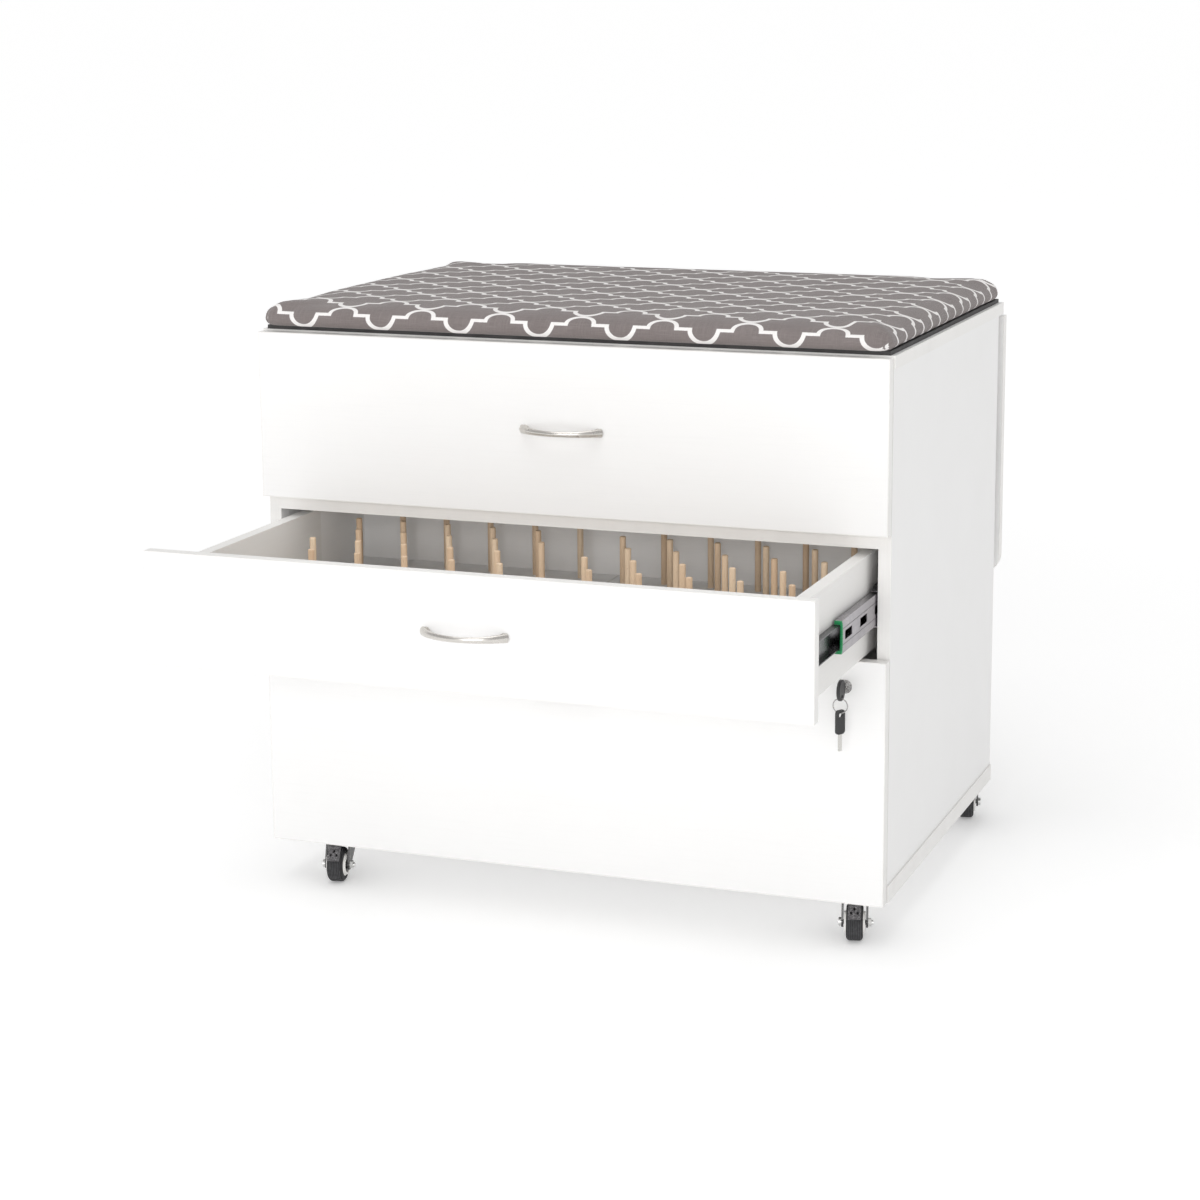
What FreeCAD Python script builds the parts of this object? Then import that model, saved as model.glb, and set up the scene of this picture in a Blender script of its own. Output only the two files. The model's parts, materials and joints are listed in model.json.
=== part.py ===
import FreeCAD, Part
import math
import os

# Rolling sewing storage cabinet: a white board carcass with three drawers,
# a padded pressing top, a drop leaf at the back and four swivel casters.
# Millimetres.  X runs to the right, Y runs to the back, Z runs up.
# The origin is on the floor, under the middle of the bounding box at rest.

Vec = FreeCAD.Vector

# ---------------------------------------------------------------- boards
FRONT_WIDTH = 830.0          # drawer fronts and carcass sides, edge to edge
CARCASS_DEPTH = 558.0        # side panels, front edge to back edge
CARCASS_HEIGHT = 675.0       # underside of bottom board to face of top board
BOARD = 16.0                 # sides, top board, leaf and drawer boards
BOTTOM_BOARD = 22.0          # thicker, because it carries the casters
BOARD_OVERHANG = 2.0         # top and bottom boards past the side panels
TOP_BACK_OVERHANG = 20.0     # top board past the back of the side panels
FRONT_GAP = 2.0              # bumper gap between a closed front and the carcass
BACK_PANEL = 3.0
BACK_PANEL_INSET = 6.0       # from the back edge of the side panels
GROOVE_DEPTH = 6.0
GROOVE_PLAY = 0.2

# ---------------------------------------------------------------- fronts
DEEP_FRONT_HEIGHT = 306.0
THREAD_FRONT_HEIGHT = 139.0
FRONT_REVEAL = 3.0           # gap between the deep front and the thread front
TOP_FRONT_BOTTOM = 460.0     # above the underside of the bottom board
TOP_FRONT_DROP = 2.0         # top edge of the top front below the board face
RAIL_TOP = 457.5             # cross rail between the two upper bays
RAIL_DEPTH = 80.0

# ---------------------------------------------------------------- drawers
SLIDE_LENGTH = 500.0
SLIDE_SPACE = 13.0           # side clearance taken by each slide
SLIDE_TRAVEL = 450.0
THREAD_OPEN = 302.0          # the thread drawer stands this far out at rest
DRAWER_LENGTH = 500.0
DRAWER_BOTTOM = 4.0
DRAWER_BOTTOM_RAISE = 11.0   # groove height above the lower edge of the sides
THREAD_BOX_BOTTOM = 311.0
THREAD_BOX_HEIGHT = 122.0
TOP_BOX_BOTTOM = 478.0
TOP_BOX_HEIGHT = 150.0
DEEP_BOX_BOTTOM = 40.0
DEEP_BOX_HEIGHT = 224.0

# three-member ball-bearing slide, section sizes
SLIDE_HEIGHT = 45.0
MIDDLE_HEIGHT = 39.0
INNER_HEIGHT = 29.0
SLIDE_SHEET = 1.2
SLIDE_DEPTH = 9.5
SLIDE_STEP = 0.6             # air between one member's web and the next
MIDDLE_LENGTH = 480.0
CLIP_LENGTH = 3.0
CLIP_PLAY = 0.7
PUNCH_HOLE_LENGTH = 30.0
PUNCH_HOLE_HEIGHT = 10.5
PUNCH_HOLE_PITCH = 65.0
PUNCH_HOLE_FIRST = 12.0
PUNCH_HOLE_COUNT = 6

# ---------------------------------------------------------------- thread pegs
PEG_RADIUS = 4.0
PEG_HEIGHT = 74.0            # above the peg board
PEG_SEAT = 8.0               # glued into the board
PEG_PLAY = 0.05
PEG_ROUND = 1.5
PEG_PITCH_X = 63.5
PEG_PITCH_Y = 67.0
PEG_ROWS = 7
PEGS_PER_ROW = 5
PEG_BOARD = 18.0
PEG_BOARD_PLAY = 0.5
PEG_BACK_MARGIN = 31.0

# ---------------------------------------------------------------- handle
HANDLE_HALF_SPAN = 52.0
HANDLE_REACH = 26.0
HANDLE_END_RADIUS = 5.6
HANDLE_MID_RADIUS = 3.4
HANDLE_FLATTEN = 0.72        # depth of the bow section against its height
HANDLE_FOOT_INSET = 3.5      # middle of each foot, in from the end of the bow
HANDLE_FOOT = 3.0            # how far each round foot stands off the front
HANDLE_STEPS = 12            # sections that the bow is lofted through
DEEP_HANDLE_FROM_TOP = 70.0  # the deep drawer's pull sits high, within easy reach

# ---------------------------------------------------------------- lock
LOCK_FROM_RIGHT = 50.0
LOCK_FROM_TOP = 32.0
LOCK_BARREL_RADIUS = 7.0
LOCK_ROSETTE_RADIUS = 8.5
LOCK_ROSETTE = 2.0
LOCK_PLUG_RADIUS = 4.6
LOCK_PLAY = 0.05
LOCK_BACK = 7.0              # barrel behind the front
CAM_LENGTH = 28.0
CAM_WIDTH = 9.0
CAM_THICKNESS = 2.0
KEY_SLOT_WIDTH = 2.2
KEY_SLOT_HEIGHT = 7.0
KEY_BLADE = 2.0
KEY_BLADE_HEIGHT = 6.6
KEY_HEAD = 4.5
KEY_HEAD_RADIUS = 13.0
KEY_HEAD_GAP = 5.0           # from rosette to the key's head
KEY_HOLE_RADIUS = 3.2
RING_RADIUS = 9.0
RING_WIRE = 0.7
SPARE_HEAD_WIDTH = 14.0
SPARE_HEAD_LENGTH = 30.0
SPARE_HEAD = 3.0
SPARE_BLADE_LENGTH = 21.0
SPARE_BLADE = 5.0
SPARE_TURN = -30.0

# ---------------------------------------------------------------- leaf
LEAF_LENGTH = 365.0
LEAF_CORNER = 28.0
LEAF_GAP = 0.5
HINGE_DROP = 3.0             # hinge pin below the underside of the top board
HINGE_KNUCKLE = 2.9
HINGE_PIN = 1.5
HINGE_PLAY = 0.05
HINGE_PLATE = 1.2
HINGE_LENGTH = 75.0
HINGE_FROM_MIDDLE = 290.0
HINGE_FLAP = 18.0
KNUCKLE_GAP = 0.4

# folding stays under the leaf
STAY_DROP = 200.0            # pivot below the hinge pin
STAY_STANDOFF = 8.5          # pivot in front of the hinge pin
STAY_WIDTH = 12.0
STAY_SHEET = 2.5
STAY_GAP = 1.5
STAY_PIN = 2.5
STAY_PLAY = 0.06
LUG_SHEET = 2.0
LUG_HEIGHT = 44.0
LUG_FOOT = 11.0

# ---------------------------------------------------------------- top pad
PAD_BOARD = 5.0
PAD_BOARD_INSET = 6.0
PAD_INSET = 3.0
PAD_HEIGHT = 30.0
PAD_CORNER = 26.0
PAD_EDGE = 11.0

# ---------------------------------------------------------------- casters
CASTER_HEIGHT = 57.0
WHEEL_RADIUS = 23.0
WHEEL_WIDTH = 21.0
HUB_PROUD = 2.5             # rim discs stand out past the tyre
HUB_PROUD_RADIUS = 13.5
TYRE_WALL = 8.0
TYRE_ROUND = 5.0
CASTER_TRAIL = 24.0
CASTER_PLACES = {            # kingpin: in from the side edge, in from the carcass edge
    "front_left": (77.0, 30.0),
    "front_right": (50.0, 38.0),
    "back_left": (77.0, 28.0),
    "back_right": (26.0, 28.0),
}
PLATE_LENGTH = 60.0
PLATE_WIDTH = 44.0
PLATE_SHEET = 2.5
RACE_RADIUS = 14.0
RACE_HEIGHT = 2.4
KINGPIN = 3.0
RUNNING_PLAY = 0.05
FORK_SHEET = 2.5
FORK_GAP = 1.0
CROWN_SHEET = 3.3
BEARING_GAP = 0.4
AXLE_RADIUS = 3.0
AXLE_BOSS = 7.0
BOLT_HEAD_RADIUS = 5.5
BOLT_HEAD = 3.5
NUT_HEIGHT = 4.0
THREAD_END = 2.5
PEDAL_WIDTH = 16.0
PEDAL_SHEET = 1.6
PEDAL_PIN = 1.1
PEDAL_BARREL = 2.2
PEDAL_REACH = 17.0           # flat length, from the pivot to the bend
PEDAL_SLOPE_OUT = 13.0       # the toe tab runs this far out and this far down
PEDAL_SLOPE_DOWN = 15.0
PEDAL_HOLE = 1.6
PEDAL_HOLE_SPREAD = 4.0
CASTER_TURNS = {             # how each fork stands at rest, degrees
    "front_left": 10.0,
    "front_right": 14.0,
    "back_left": 168.0,
    "back_right": 193.0,
}

# ---------------------------------------------------------------- worked out
INSIDE_HALF = FRONT_WIDTH / 2 - BOARD
DRAWER_HALF = INSIDE_HALF - SLIDE_SPACE
OVERALL_FRONT = THREAD_OPEN + HANDLE_REACH + HANDLE_MID_RADIUS * HANDLE_FLATTEN
CARCASS_FRONT_Y = BOARD + FRONT_GAP
CARCASS_BACK_Y = CARCASS_FRONT_Y + CARCASS_DEPTH
TOP_BACK_Y = CARCASS_BACK_Y + TOP_BACK_OVERHANG
HINGE_Y = TOP_BACK_Y + LEAF_GAP
LEAF_BACK_Y = HINGE_Y + HINGE_DROP + BOARD
Y0 = (OVERALL_FRONT - LEAF_BACK_Y) / 2      # front face plane of closed fronts
Z0 = CASTER_HEIGHT                          # underside of the bottom board
TOP_UNDER = CARCASS_HEIGHT - BOARD
HINGE_Z = TOP_UNDER - HINGE_DROP
TOP_FRONT_HEIGHT = CARCASS_HEIGHT - TOP_FRONT_DROP - TOP_FRONT_BOTTOM
THREAD_FRONT_BOTTOM = DEEP_FRONT_HEIGHT + FRONT_REVEAL
STAY_LENGTH = math.hypot(STAY_DROP, STAY_STANDOFF) / math.sqrt(2)


def place(shape):
    """Move a shape from cabinet coordinates to the origin on the floor."""
    shape.translate(Vec(0, Y0, Z0))
    return shape


def block(x0, x1, y0, y1, z0, z1):
    """Box between two corners."""
    low_x, high_x = min(x0, x1), max(x0, x1)
    low_y, high_y = min(y0, y1), max(y0, y1)
    low_z, high_z = min(z0, z1), max(z0, z1)
    corner = Vec(low_x, low_y, low_z)
    return Part.makeBox(high_x - low_x, high_y - low_y, high_z - low_z, corner)


def rod(radius, start, end):
    """Cylinder from one point to another."""
    axis = end - start
    return Part.makeCylinder(radius, axis.Length, start, axis)


def write(name, solids):
    """Write one node as a STEP file."""
    placed = [place(solid) for solid in solids]
    shape = placed[0] if len(placed) == 1 else Part.makeCompound(placed)
    shape.exportStep("parts/" + name + ".step")


# ------------------------------------------------------------------ carcass
def back_groove(x0, x1, z0, z1):
    """Slot near the back edge that takes the back panel."""
    y1 = CARCASS_BACK_Y - BACK_PANEL_INSET + GROOVE_PLAY
    y0 = CARCASS_BACK_Y - BACK_PANEL_INSET - BACK_PANEL - GROOVE_PLAY
    return block(x0, x1, y0, y1, z0, z1)


def side_panel(side):
    outer = side * FRONT_WIDTH / 2
    inner = side * INSIDE_HALF
    panel = block(outer, inner, CARCASS_FRONT_Y, CARCASS_BACK_Y, BOTTOM_BOARD, TOP_UNDER)
    groove_floor = side * (INSIDE_HALF + GROOVE_DEPTH + GROOVE_PLAY)
    return panel.cut(back_groove(inner, groove_floor, BOTTOM_BOARD, TOP_UNDER))


def top_board():
    half = FRONT_WIDTH / 2 + BOARD_OVERHANG
    board = block(-half, half, CARCASS_FRONT_Y, TOP_BACK_Y, TOP_UNDER, CARCASS_HEIGHT)
    slot_half = INSIDE_HALF + GROOVE_DEPTH + GROOVE_PLAY
    slot_top = TOP_UNDER + GROOVE_DEPTH + GROOVE_PLAY
    return board.cut(back_groove(-slot_half, slot_half, TOP_UNDER, slot_top))


def bottom_board():
    half = FRONT_WIDTH / 2 + BOARD_OVERHANG
    board = block(-half, half, CARCASS_FRONT_Y, CARCASS_BACK_Y, 0, BOTTOM_BOARD)
    slot_half = INSIDE_HALF + GROOVE_DEPTH + GROOVE_PLAY
    slot_floor = BOTTOM_BOARD - GROOVE_DEPTH - GROOVE_PLAY
    return board.cut(back_groove(-slot_half, slot_half, slot_floor, BOTTOM_BOARD))


def back_panel():
    half = INSIDE_HALF + GROOVE_DEPTH
    y1 = CARCASS_BACK_Y - BACK_PANEL_INSET
    low = BOTTOM_BOARD - GROOVE_DEPTH
    high = TOP_UNDER + GROOVE_DEPTH
    return block(-half, half, y1 - BACK_PANEL, y1, low, high)


def front_rail():
    y1 = CARCASS_FRONT_Y + RAIL_DEPTH
    return block(-INSIDE_HALF, INSIDE_HALF, CARCASS_FRONT_Y, y1, RAIL_TOP - BOARD, RAIL_TOP)


# ------------------------------------------------------------------ slides
def channel(side, web_x, lip_x, height, y0, y1, z_middle):
    """C-shaped slide member: an upright web with a lip above and below."""
    low = z_middle - height / 2
    high = z_middle + height / 2
    inward = 1 if abs(lip_x) > abs(web_x) else -1
    web_far = web_x + inward * SLIDE_SHEET
    web = block(side * web_x, side * web_far, y0, y1, low, high)
    upper = block(side * web_x, side * lip_x, y0, y1, high - SLIDE_SHEET, high)
    lower = block(side * web_x, side * lip_x, y0, y1, low, low + SLIDE_SHEET)
    return web.fuse([upper, lower]).removeSplitter()


def fixed_member(side, z_middle):
    lip_x = INSIDE_HALF - SLIDE_DEPTH
    y0 = CARCASS_FRONT_Y + CLIP_LENGTH
    return channel(side, INSIDE_HALF, lip_x, SLIDE_HEIGHT, y0, y0 + SLIDE_LENGTH, z_middle)


def middle_member(side, z_middle, out):
    """Middle member, moved out by half of the drawer's travel."""
    web_x = INSIDE_HALF - SLIDE_SHEET - SLIDE_STEP
    y0 = CARCASS_FRONT_Y + CLIP_LENGTH - out
    lip_x = INSIDE_HALF - SLIDE_DEPTH - SLIDE_SHEET
    member = channel(side, web_x, lip_x, MIDDLE_HEIGHT, y0, y0 + MIDDLE_LENGTH, z_middle)
    holes = []
    for number in range(PUNCH_HOLE_COUNT):
        hole_y = y0 + PUNCH_HOLE_FIRST + number * PUNCH_HOLE_PITCH
        hole_low = z_middle - PUNCH_HOLE_HEIGHT / 2
        hole_high = z_middle + PUNCH_HOLE_HEIGHT / 2
        far_x = web_x - SLIDE_SHEET - 1
        hole_end = hole_y + PUNCH_HOLE_LENGTH
        holes.append(block(side * (web_x + 1), side * far_x, hole_y, hole_end, hole_low, hole_high))
    return member.cut(holes)


def rail_clip(side, z_middle, out):
    """Plastic end clip on the middle member, open around the inner member."""
    web_x = INSIDE_HALF - SLIDE_SHEET - SLIDE_STEP
    lip_x = INSIDE_HALF - SLIDE_DEPTH - SLIDE_SHEET
    y1 = CARCASS_FRONT_Y + CLIP_LENGTH - out
    half = MIDDLE_HEIGHT / 2
    body = block(side * web_x, side * lip_x, y1 - CLIP_LENGTH, y1, z_middle - half, z_middle + half)
    inner_half = INNER_HEIGHT / 2 + CLIP_PLAY
    mouth_x = web_x - SLIDE_SHEET - CLIP_PLAY
    mouth_low = z_middle - inner_half
    mouth_high = z_middle + inner_half
    y_low = y1 - CLIP_LENGTH - 1
    mouth = block(side * mouth_x, side * (lip_x - 1), y_low, y1 + 1, mouth_low, mouth_high)
    return body.cut(mouth)


def inner_member(side, z_middle, out):
    """Drawer member, screwed to the drawer side."""
    lip_x = INSIDE_HALF - 2 * (SLIDE_SHEET + SLIDE_STEP) - SLIDE_SHEET
    y0 = BOARD - out
    return channel(side, DRAWER_HALF, lip_x, INNER_HEIGHT, y0, y0 + DRAWER_LENGTH, z_middle)


# ------------------------------------------------------------------ drawers
def drawer_sides(low, height, out):
    """Two side boards, grooved for the drawer bottom."""
    sides = []
    for side in (-1, 1):
        outer = side * DRAWER_HALF
        inner = side * (DRAWER_HALF - BOARD)
        y0 = BOARD - out
        board = block(outer, inner, y0, y0 + DRAWER_LENGTH, low, low + height)
        slot_x = side * (DRAWER_HALF - BOARD + GROOVE_DEPTH + GROOVE_PLAY)
        slot_low = low + DRAWER_BOTTOM_RAISE - GROOVE_PLAY
        slot_high = low + DRAWER_BOTTOM_RAISE + DRAWER_BOTTOM + GROOVE_PLAY
        slot = block(inner, slot_x, y0, y0 + DRAWER_LENGTH, slot_low, slot_high)
        sides.append(board.cut(slot))
    return sides


def drawer_back(low, height, out):
    """Back board, standing on the drawer bottom."""
    half = DRAWER_HALF - BOARD
    y1 = BOARD - out + DRAWER_LENGTH
    foot = low + DRAWER_BOTTOM_RAISE + DRAWER_BOTTOM
    return block(-half, half, y1 - BOARD, y1, foot, low + height)


def drawer_bottom(low, out):
    half = DRAWER_HALF - BOARD + GROOVE_DEPTH
    y0 = BOARD - out
    foot = low + DRAWER_BOTTOM_RAISE
    return block(-half, half, y0, y0 + DRAWER_LENGTH, foot, foot + DRAWER_BOTTOM)


def drawer_front(low, height, out):
    half = FRONT_WIDTH / 2
    return block(-half, half, -out, BOARD - out, low, low + height)


def bow_handle(z_middle, out):
    """Bowed pull: oval sections along an arc, thick at the feet, slim between."""
    sagitta = HANDLE_REACH
    arc_radius = (HANDLE_HALF_SPAN ** 2 + sagitta ** 2) / (2 * sagitta)
    half_angle = math.asin(HANDLE_HALF_SPAN / arc_radius)
    sections = []
    for number in range(HANDLE_STEPS + 1):
        share = -1 + 2 * number / HANDLE_STEPS
        angle = share * half_angle
        x = arc_radius * math.sin(angle)
        y = -out - sagitta + arc_radius * (1 - math.cos(angle))
        tall = HANDLE_MID_RADIUS + (HANDLE_END_RADIUS - HANDLE_MID_RADIUS) * share ** 2
        deep = tall * HANDLE_FLATTEN
        along = Vec(math.cos(angle), math.sin(angle), 0)
        across = Vec(-math.sin(angle), math.cos(angle), 0)
        centre = Vec(x, y, z_middle)
        oval = Part.Ellipse(centre + Vec(0, 0, tall), centre + across * deep, centre)
        sections.append(Part.Wire([oval.toShape()]))
    bow = Part.makeLoft(sections, True, False)
    behind = block(-FRONT_WIDTH, FRONT_WIDTH, -out, -out + 60, z_middle - 40, z_middle + 40)
    bow = bow.cut(behind)
    feet = []
    for side in (-1, 1):
        foot_x = side * (HANDLE_HALF_SPAN - HANDLE_FOOT_INSET)
        start = Vec(foot_x, -out, z_middle)
        feet.append(rod(HANDLE_END_RADIUS, start, start + Vec(0, -HANDLE_FOOT, 0)))
    return bow.fuse(feet).removeSplitter()


def handle_level(name, front_low, front_height):
    """Height of the pull: the middle of the front, or higher on the deep drawer."""
    if name == "deep_drawer":
        return front_low + front_height - DEEP_HANDLE_FROM_TOP
    return front_low + front_height / 2


def write_drawer(name, front_low, front_height, box_low, box_height, out):
    """The seven nodes that every drawer has."""
    z_slide = box_low + box_height * 0.46
    write(name + "_front", [make_front(name, front_low, front_height, out)])
    write(name + "_sides", drawer_sides(box_low, box_height, out))
    write(name + "_back", [drawer_back(box_low, box_height, out)])
    write(name + "_bottom", [drawer_bottom(box_low, out)])
    write(name + "_handle", [bow_handle(handle_level(name, front_low, front_height), out)])
    write(name + "_inner_rails", [inner_member(side, z_slide, out) for side in (-1, 1)])
    write(name + "_middle_rails", [middle_member(side, z_slide, out / 2) for side in (-1, 1)])
    return z_slide


def make_front(name, low, height, out):
    front = drawer_front(low, height, out)
    if name == "deep_drawer":
        x, z = lock_centre()
        hole = rod(LOCK_BARREL_RADIUS + LOCK_PLAY, Vec(x, -1, z), Vec(x, BOARD + 1, z))
        front = front.cut(hole)
    return front


# ------------------------------------------------------------------ thread pegs
def peg_board_half_width():
    return (DRAWER_HALF - BOARD) / 2 - PEG_BOARD_PLAY


def peg_board_top():
    return THREAD_BOX_BOTTOM + DRAWER_BOTTOM_RAISE + DRAWER_BOTTOM + PEG_BOARD


def peg_places():
    """Staggered rows of pegs on two boards that lie side by side."""
    back_y = BOARD - THREAD_OPEN + DRAWER_LENGTH - BOARD
    places = []
    for board in (-1, 1):
        middle = board * (DRAWER_HALF - BOARD) / 2
        for row in range(PEG_ROWS):
            y = back_y - PEG_BACK_MARGIN - row * PEG_PITCH_Y
            shift = PEG_PITCH_X / 4 if row % 2 == 0 else -PEG_PITCH_X / 4
            for number in range(PEGS_PER_ROW):
                x = middle + (number - (PEGS_PER_ROW - 1) / 2) * PEG_PITCH_X + shift
                places.append((board, x, y))
    return places


def peg_board(board):
    middle = board * (DRAWER_HALF - BOARD) / 2
    half = peg_board_half_width()
    y0 = BOARD - THREAD_OPEN + PEG_BOARD_PLAY
    y1 = y0 + DRAWER_LENGTH - BOARD - 2 * PEG_BOARD_PLAY
    top = peg_board_top()
    slab = block(middle - half, middle + half, y0, y1, top - PEG_BOARD, top)
    radius = PEG_RADIUS + PEG_PLAY
    holes = []
    for owner, x, y in peg_places():
        if owner == board:
            holes.append(rod(radius, Vec(x, y, top - PEG_SEAT), Vec(x, y, top + 1)))
    return slab.cut(holes)


def pegs():
    """Turned dowels with eased tops."""
    top = peg_board_top()
    made = []
    for _, x, y in peg_places():
        dowel = rod(PEG_RADIUS, Vec(x, y, top - PEG_SEAT), Vec(x, y, top + PEG_HEIGHT))
        rim = [edge for edge in dowel.Edges if edge.BoundBox.ZMin > top + PEG_HEIGHT - 0.1]
        made.append(dowel.makeFillet(PEG_ROUND, rim))
    return made


# ------------------------------------------------------------------ lock
def lock_centre():
    """Middle of the lock on the deep drawer's front."""
    return FRONT_WIDTH / 2 - LOCK_FROM_RIGHT, DEEP_FRONT_HEIGHT - LOCK_FROM_TOP


def lock_barrel():
    x, z = lock_centre()
    back = BOARD + LOCK_BACK
    barrel = rod(LOCK_BARREL_RADIUS, Vec(x, 0, z), Vec(x, back, z))
    rosette = rod(LOCK_ROSETTE_RADIUS, Vec(x, -LOCK_ROSETTE, z), Vec(x, 0, z))
    bore_radius = LOCK_PLUG_RADIUS + LOCK_PLAY
    bore = rod(bore_radius, Vec(x, -LOCK_ROSETTE - 1, z), Vec(x, back + 1, z))
    return barrel.fuse(rosette).removeSplitter().cut(bore)


def lock_plug():
    """Turning plug with its cam behind the front."""
    x, z = lock_centre()
    back = BOARD + LOCK_BACK
    plug = rod(LOCK_PLUG_RADIUS, Vec(x, -LOCK_ROSETTE, z), Vec(x, back + CAM_THICKNESS + 1, z))
    half = CAM_WIDTH / 2
    cam_front = back + 0.5
    cam_back = cam_front + CAM_THICKNESS
    cam = block(x - half, x + half, cam_front, cam_back, z, z + CAM_LENGTH)
    cam = cam.fuse(rod(half, Vec(x, cam_front, z), Vec(x, cam_back, z)))
    slot_half = KEY_SLOT_WIDTH / 2
    slot_high = KEY_SLOT_HEIGHT / 2
    slot = block(x - slot_half, x + slot_half, -LOCK_ROSETTE - 1, BOARD, z - slot_high, z + slot_high)
    return plug.fuse(cam).removeSplitter().cut(slot)


def ring_place():
    """Where the ring passes through the key's head."""
    x, z = lock_centre()
    y = -LOCK_ROSETTE - KEY_HEAD_GAP - KEY_HEAD_RADIUS - 2.0
    return Vec(x, y, z - KEY_HEAD_RADIUS + 5.5)


def key():
    x, z = lock_centre()
    head_front = -LOCK_ROSETTE - KEY_HEAD_GAP
    half = KEY_BLADE / 2
    blade_half = KEY_BLADE_HEIGHT / 2
    blade = block(x - half, x + half, head_front - 4, BOARD - 1, z - blade_half, z + blade_half)
    middle_y = head_front - KEY_HEAD_RADIUS
    head = rod(KEY_HEAD_RADIUS, Vec(x - KEY_HEAD / 2, middle_y, z), Vec(x + KEY_HEAD / 2, middle_y, z))
    rims = [edge for edge in head.Edges if edge.Length > KEY_HEAD_RADIUS * 3]
    head = head.makeFillet(1.2, rims)
    hole_at = ring_place()
    hole = rod(KEY_HOLE_RADIUS, hole_at - Vec(10, 0, 0), hole_at + Vec(10, 0, 0))
    return head.fuse(blade).removeSplitter().cut(hole)


def ring_middle():
    """Centre of the key ring: it hangs on the lower edge of the key's hole."""
    hang = ring_place()
    rest = KEY_HOLE_RADIUS - RING_WIRE - 0.3
    return hang - Vec(0, 0, RING_RADIUS + rest)


def key_ring():
    return Part.makeTorus(RING_RADIUS, RING_WIRE, ring_middle(), Vec(0, 1, 0))


def spare_key():
    """Second key, hanging on the ring and turned part way round."""
    low_wire = ring_middle() - Vec(0, 0, RING_RADIUS)
    hole_radius = KEY_HOLE_RADIUS
    hole_z = low_wire.z - hole_radius + RING_WIRE + 0.3
    half = SPARE_HEAD / 2
    wide = SPARE_HEAD_WIDTH / 2
    head_top = hole_z + hole_radius + 3.0
    head_low = head_top - SPARE_HEAD_LENGTH
    head = block(-half, half, -wide, wide, head_low, head_top)
    uprights = [edge for edge in head.Edges if abs(edge.BoundBox.XLength - SPARE_HEAD) < 0.01]
    head = head.makeFillet(wide * 0.6, uprights)
    blade = block(-1, 1, -SPARE_BLADE / 2, SPARE_BLADE / 2, head_low - SPARE_BLADE_LENGTH, head_low + 4)
    hole = rod(hole_radius, Vec(-10, 0, hole_z), Vec(10, 0, hole_z))
    whole = head.fuse(blade).removeSplitter().cut(hole)
    whole.rotate(Vec(0, 0, 0), Vec(0, 0, 1), SPARE_TURN)
    whole.translate(Vec(low_wire.x, low_wire.y, 0))
    return whole


# ------------------------------------------------------------------ leaf
def leaf():
    """Drop leaf, hanging straight down, with two rounded corners."""
    half = FRONT_WIDTH / 2 + BOARD_OVERHANG
    y0 = HINGE_Y + HINGE_DROP
    top = HINGE_Z - LEAF_GAP
    board = block(-half, half, y0, y0 + BOARD, top - LEAF_LENGTH, top)
    corners = []
    for edge in board.Edges:
        box = edge.BoundBox
        if box.ZMax < top - LEAF_LENGTH + 0.1 and box.YLength > BOARD - 0.1:
            corners.append(edge)
    return board.makeFillet(LEAF_CORNER, corners)


def hinge_spans():
    """Knuckles of one hinge along X: two for the fixed flap, one between."""
    third = HINGE_LENGTH / 3
    spans = []
    for number in range(3):
        start = -HINGE_LENGTH / 2 + number * third + KNUCKLE_GAP / 2
        spans.append((start, start + third - KNUCKLE_GAP))
    return spans


def hinge_base(side):
    """Flap under the top board with two knuckles, and the hinge pin in them."""
    middle = side * HINGE_FROM_MIDDLE
    half = HINGE_LENGTH / 2
    flap_z = TOP_UNDER - HINGE_PLATE
    y1 = HINGE_Y - HINGE_KNUCKLE * 0.3
    flap = block(middle - half, middle + half, y1 - HINGE_FLAP, y1, flap_z, TOP_UNDER)
    gap_start, gap_end = hinge_spans()[1]
    clear = HINGE_KNUCKLE + 0.4
    window_y = HINGE_Y - clear
    window_x0 = middle + gap_start - KNUCKLE_GAP
    window_x1 = middle + gap_end + KNUCKLE_GAP
    flap = flap.cut(block(window_x0, window_x1, window_y, y1 + 1, flap_z - 1, TOP_UNDER + 1))
    knuckles = []
    for number in (0, 2):
        start, end = hinge_spans()[number]
        begin = Vec(middle + start, HINGE_Y, HINGE_Z)
        knuckles.append(rod(HINGE_KNUCKLE, begin, begin + Vec(end - start, 0, 0)))
    base = flap.fuse(knuckles).removeSplitter()
    pin_start = Vec(middle - half, HINGE_Y, HINGE_Z)
    pin_end = Vec(middle + half, HINGE_Y, HINGE_Z)
    base = base.cut(rod(HINGE_PIN + HINGE_PLAY, pin_start - Vec(1, 0, 0), pin_end + Vec(1, 0, 0)))
    return [base, rod(HINGE_PIN, pin_start, pin_end)]


def hinge_flap(side):
    """Flap on the inner face of the leaf with the middle knuckle."""
    middle = side * HINGE_FROM_MIDDLE
    start, end = hinge_spans()[1]
    face_y = HINGE_Y + HINGE_DROP
    top = HINGE_Z - HINGE_KNUCKLE - 0.6
    half = HINGE_LENGTH / 2
    flap = block(middle - half, middle + half, face_y - HINGE_PLATE, face_y, top - HINGE_FLAP, top)
    neck = block(middle + start, middle + end, face_y - HINGE_PLATE, face_y, top, HINGE_Z)
    begin = Vec(middle + start, HINGE_Y, HINGE_Z)
    knuckle = rod(HINGE_KNUCKLE, begin, begin + Vec(end - start, 0, 0))
    bore = rod(HINGE_PIN + HINGE_PLAY, begin - Vec(1, 0, 0), begin + Vec(end - start + 1, 0, 0))
    return flap.fuse([neck, knuckle]).removeSplitter().cut(bore)


# ------------------------------------------------------------------ stays
def stay_pivot():
    return HINGE_Y - STAY_STANDOFF, HINGE_Z - STAY_DROP


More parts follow.
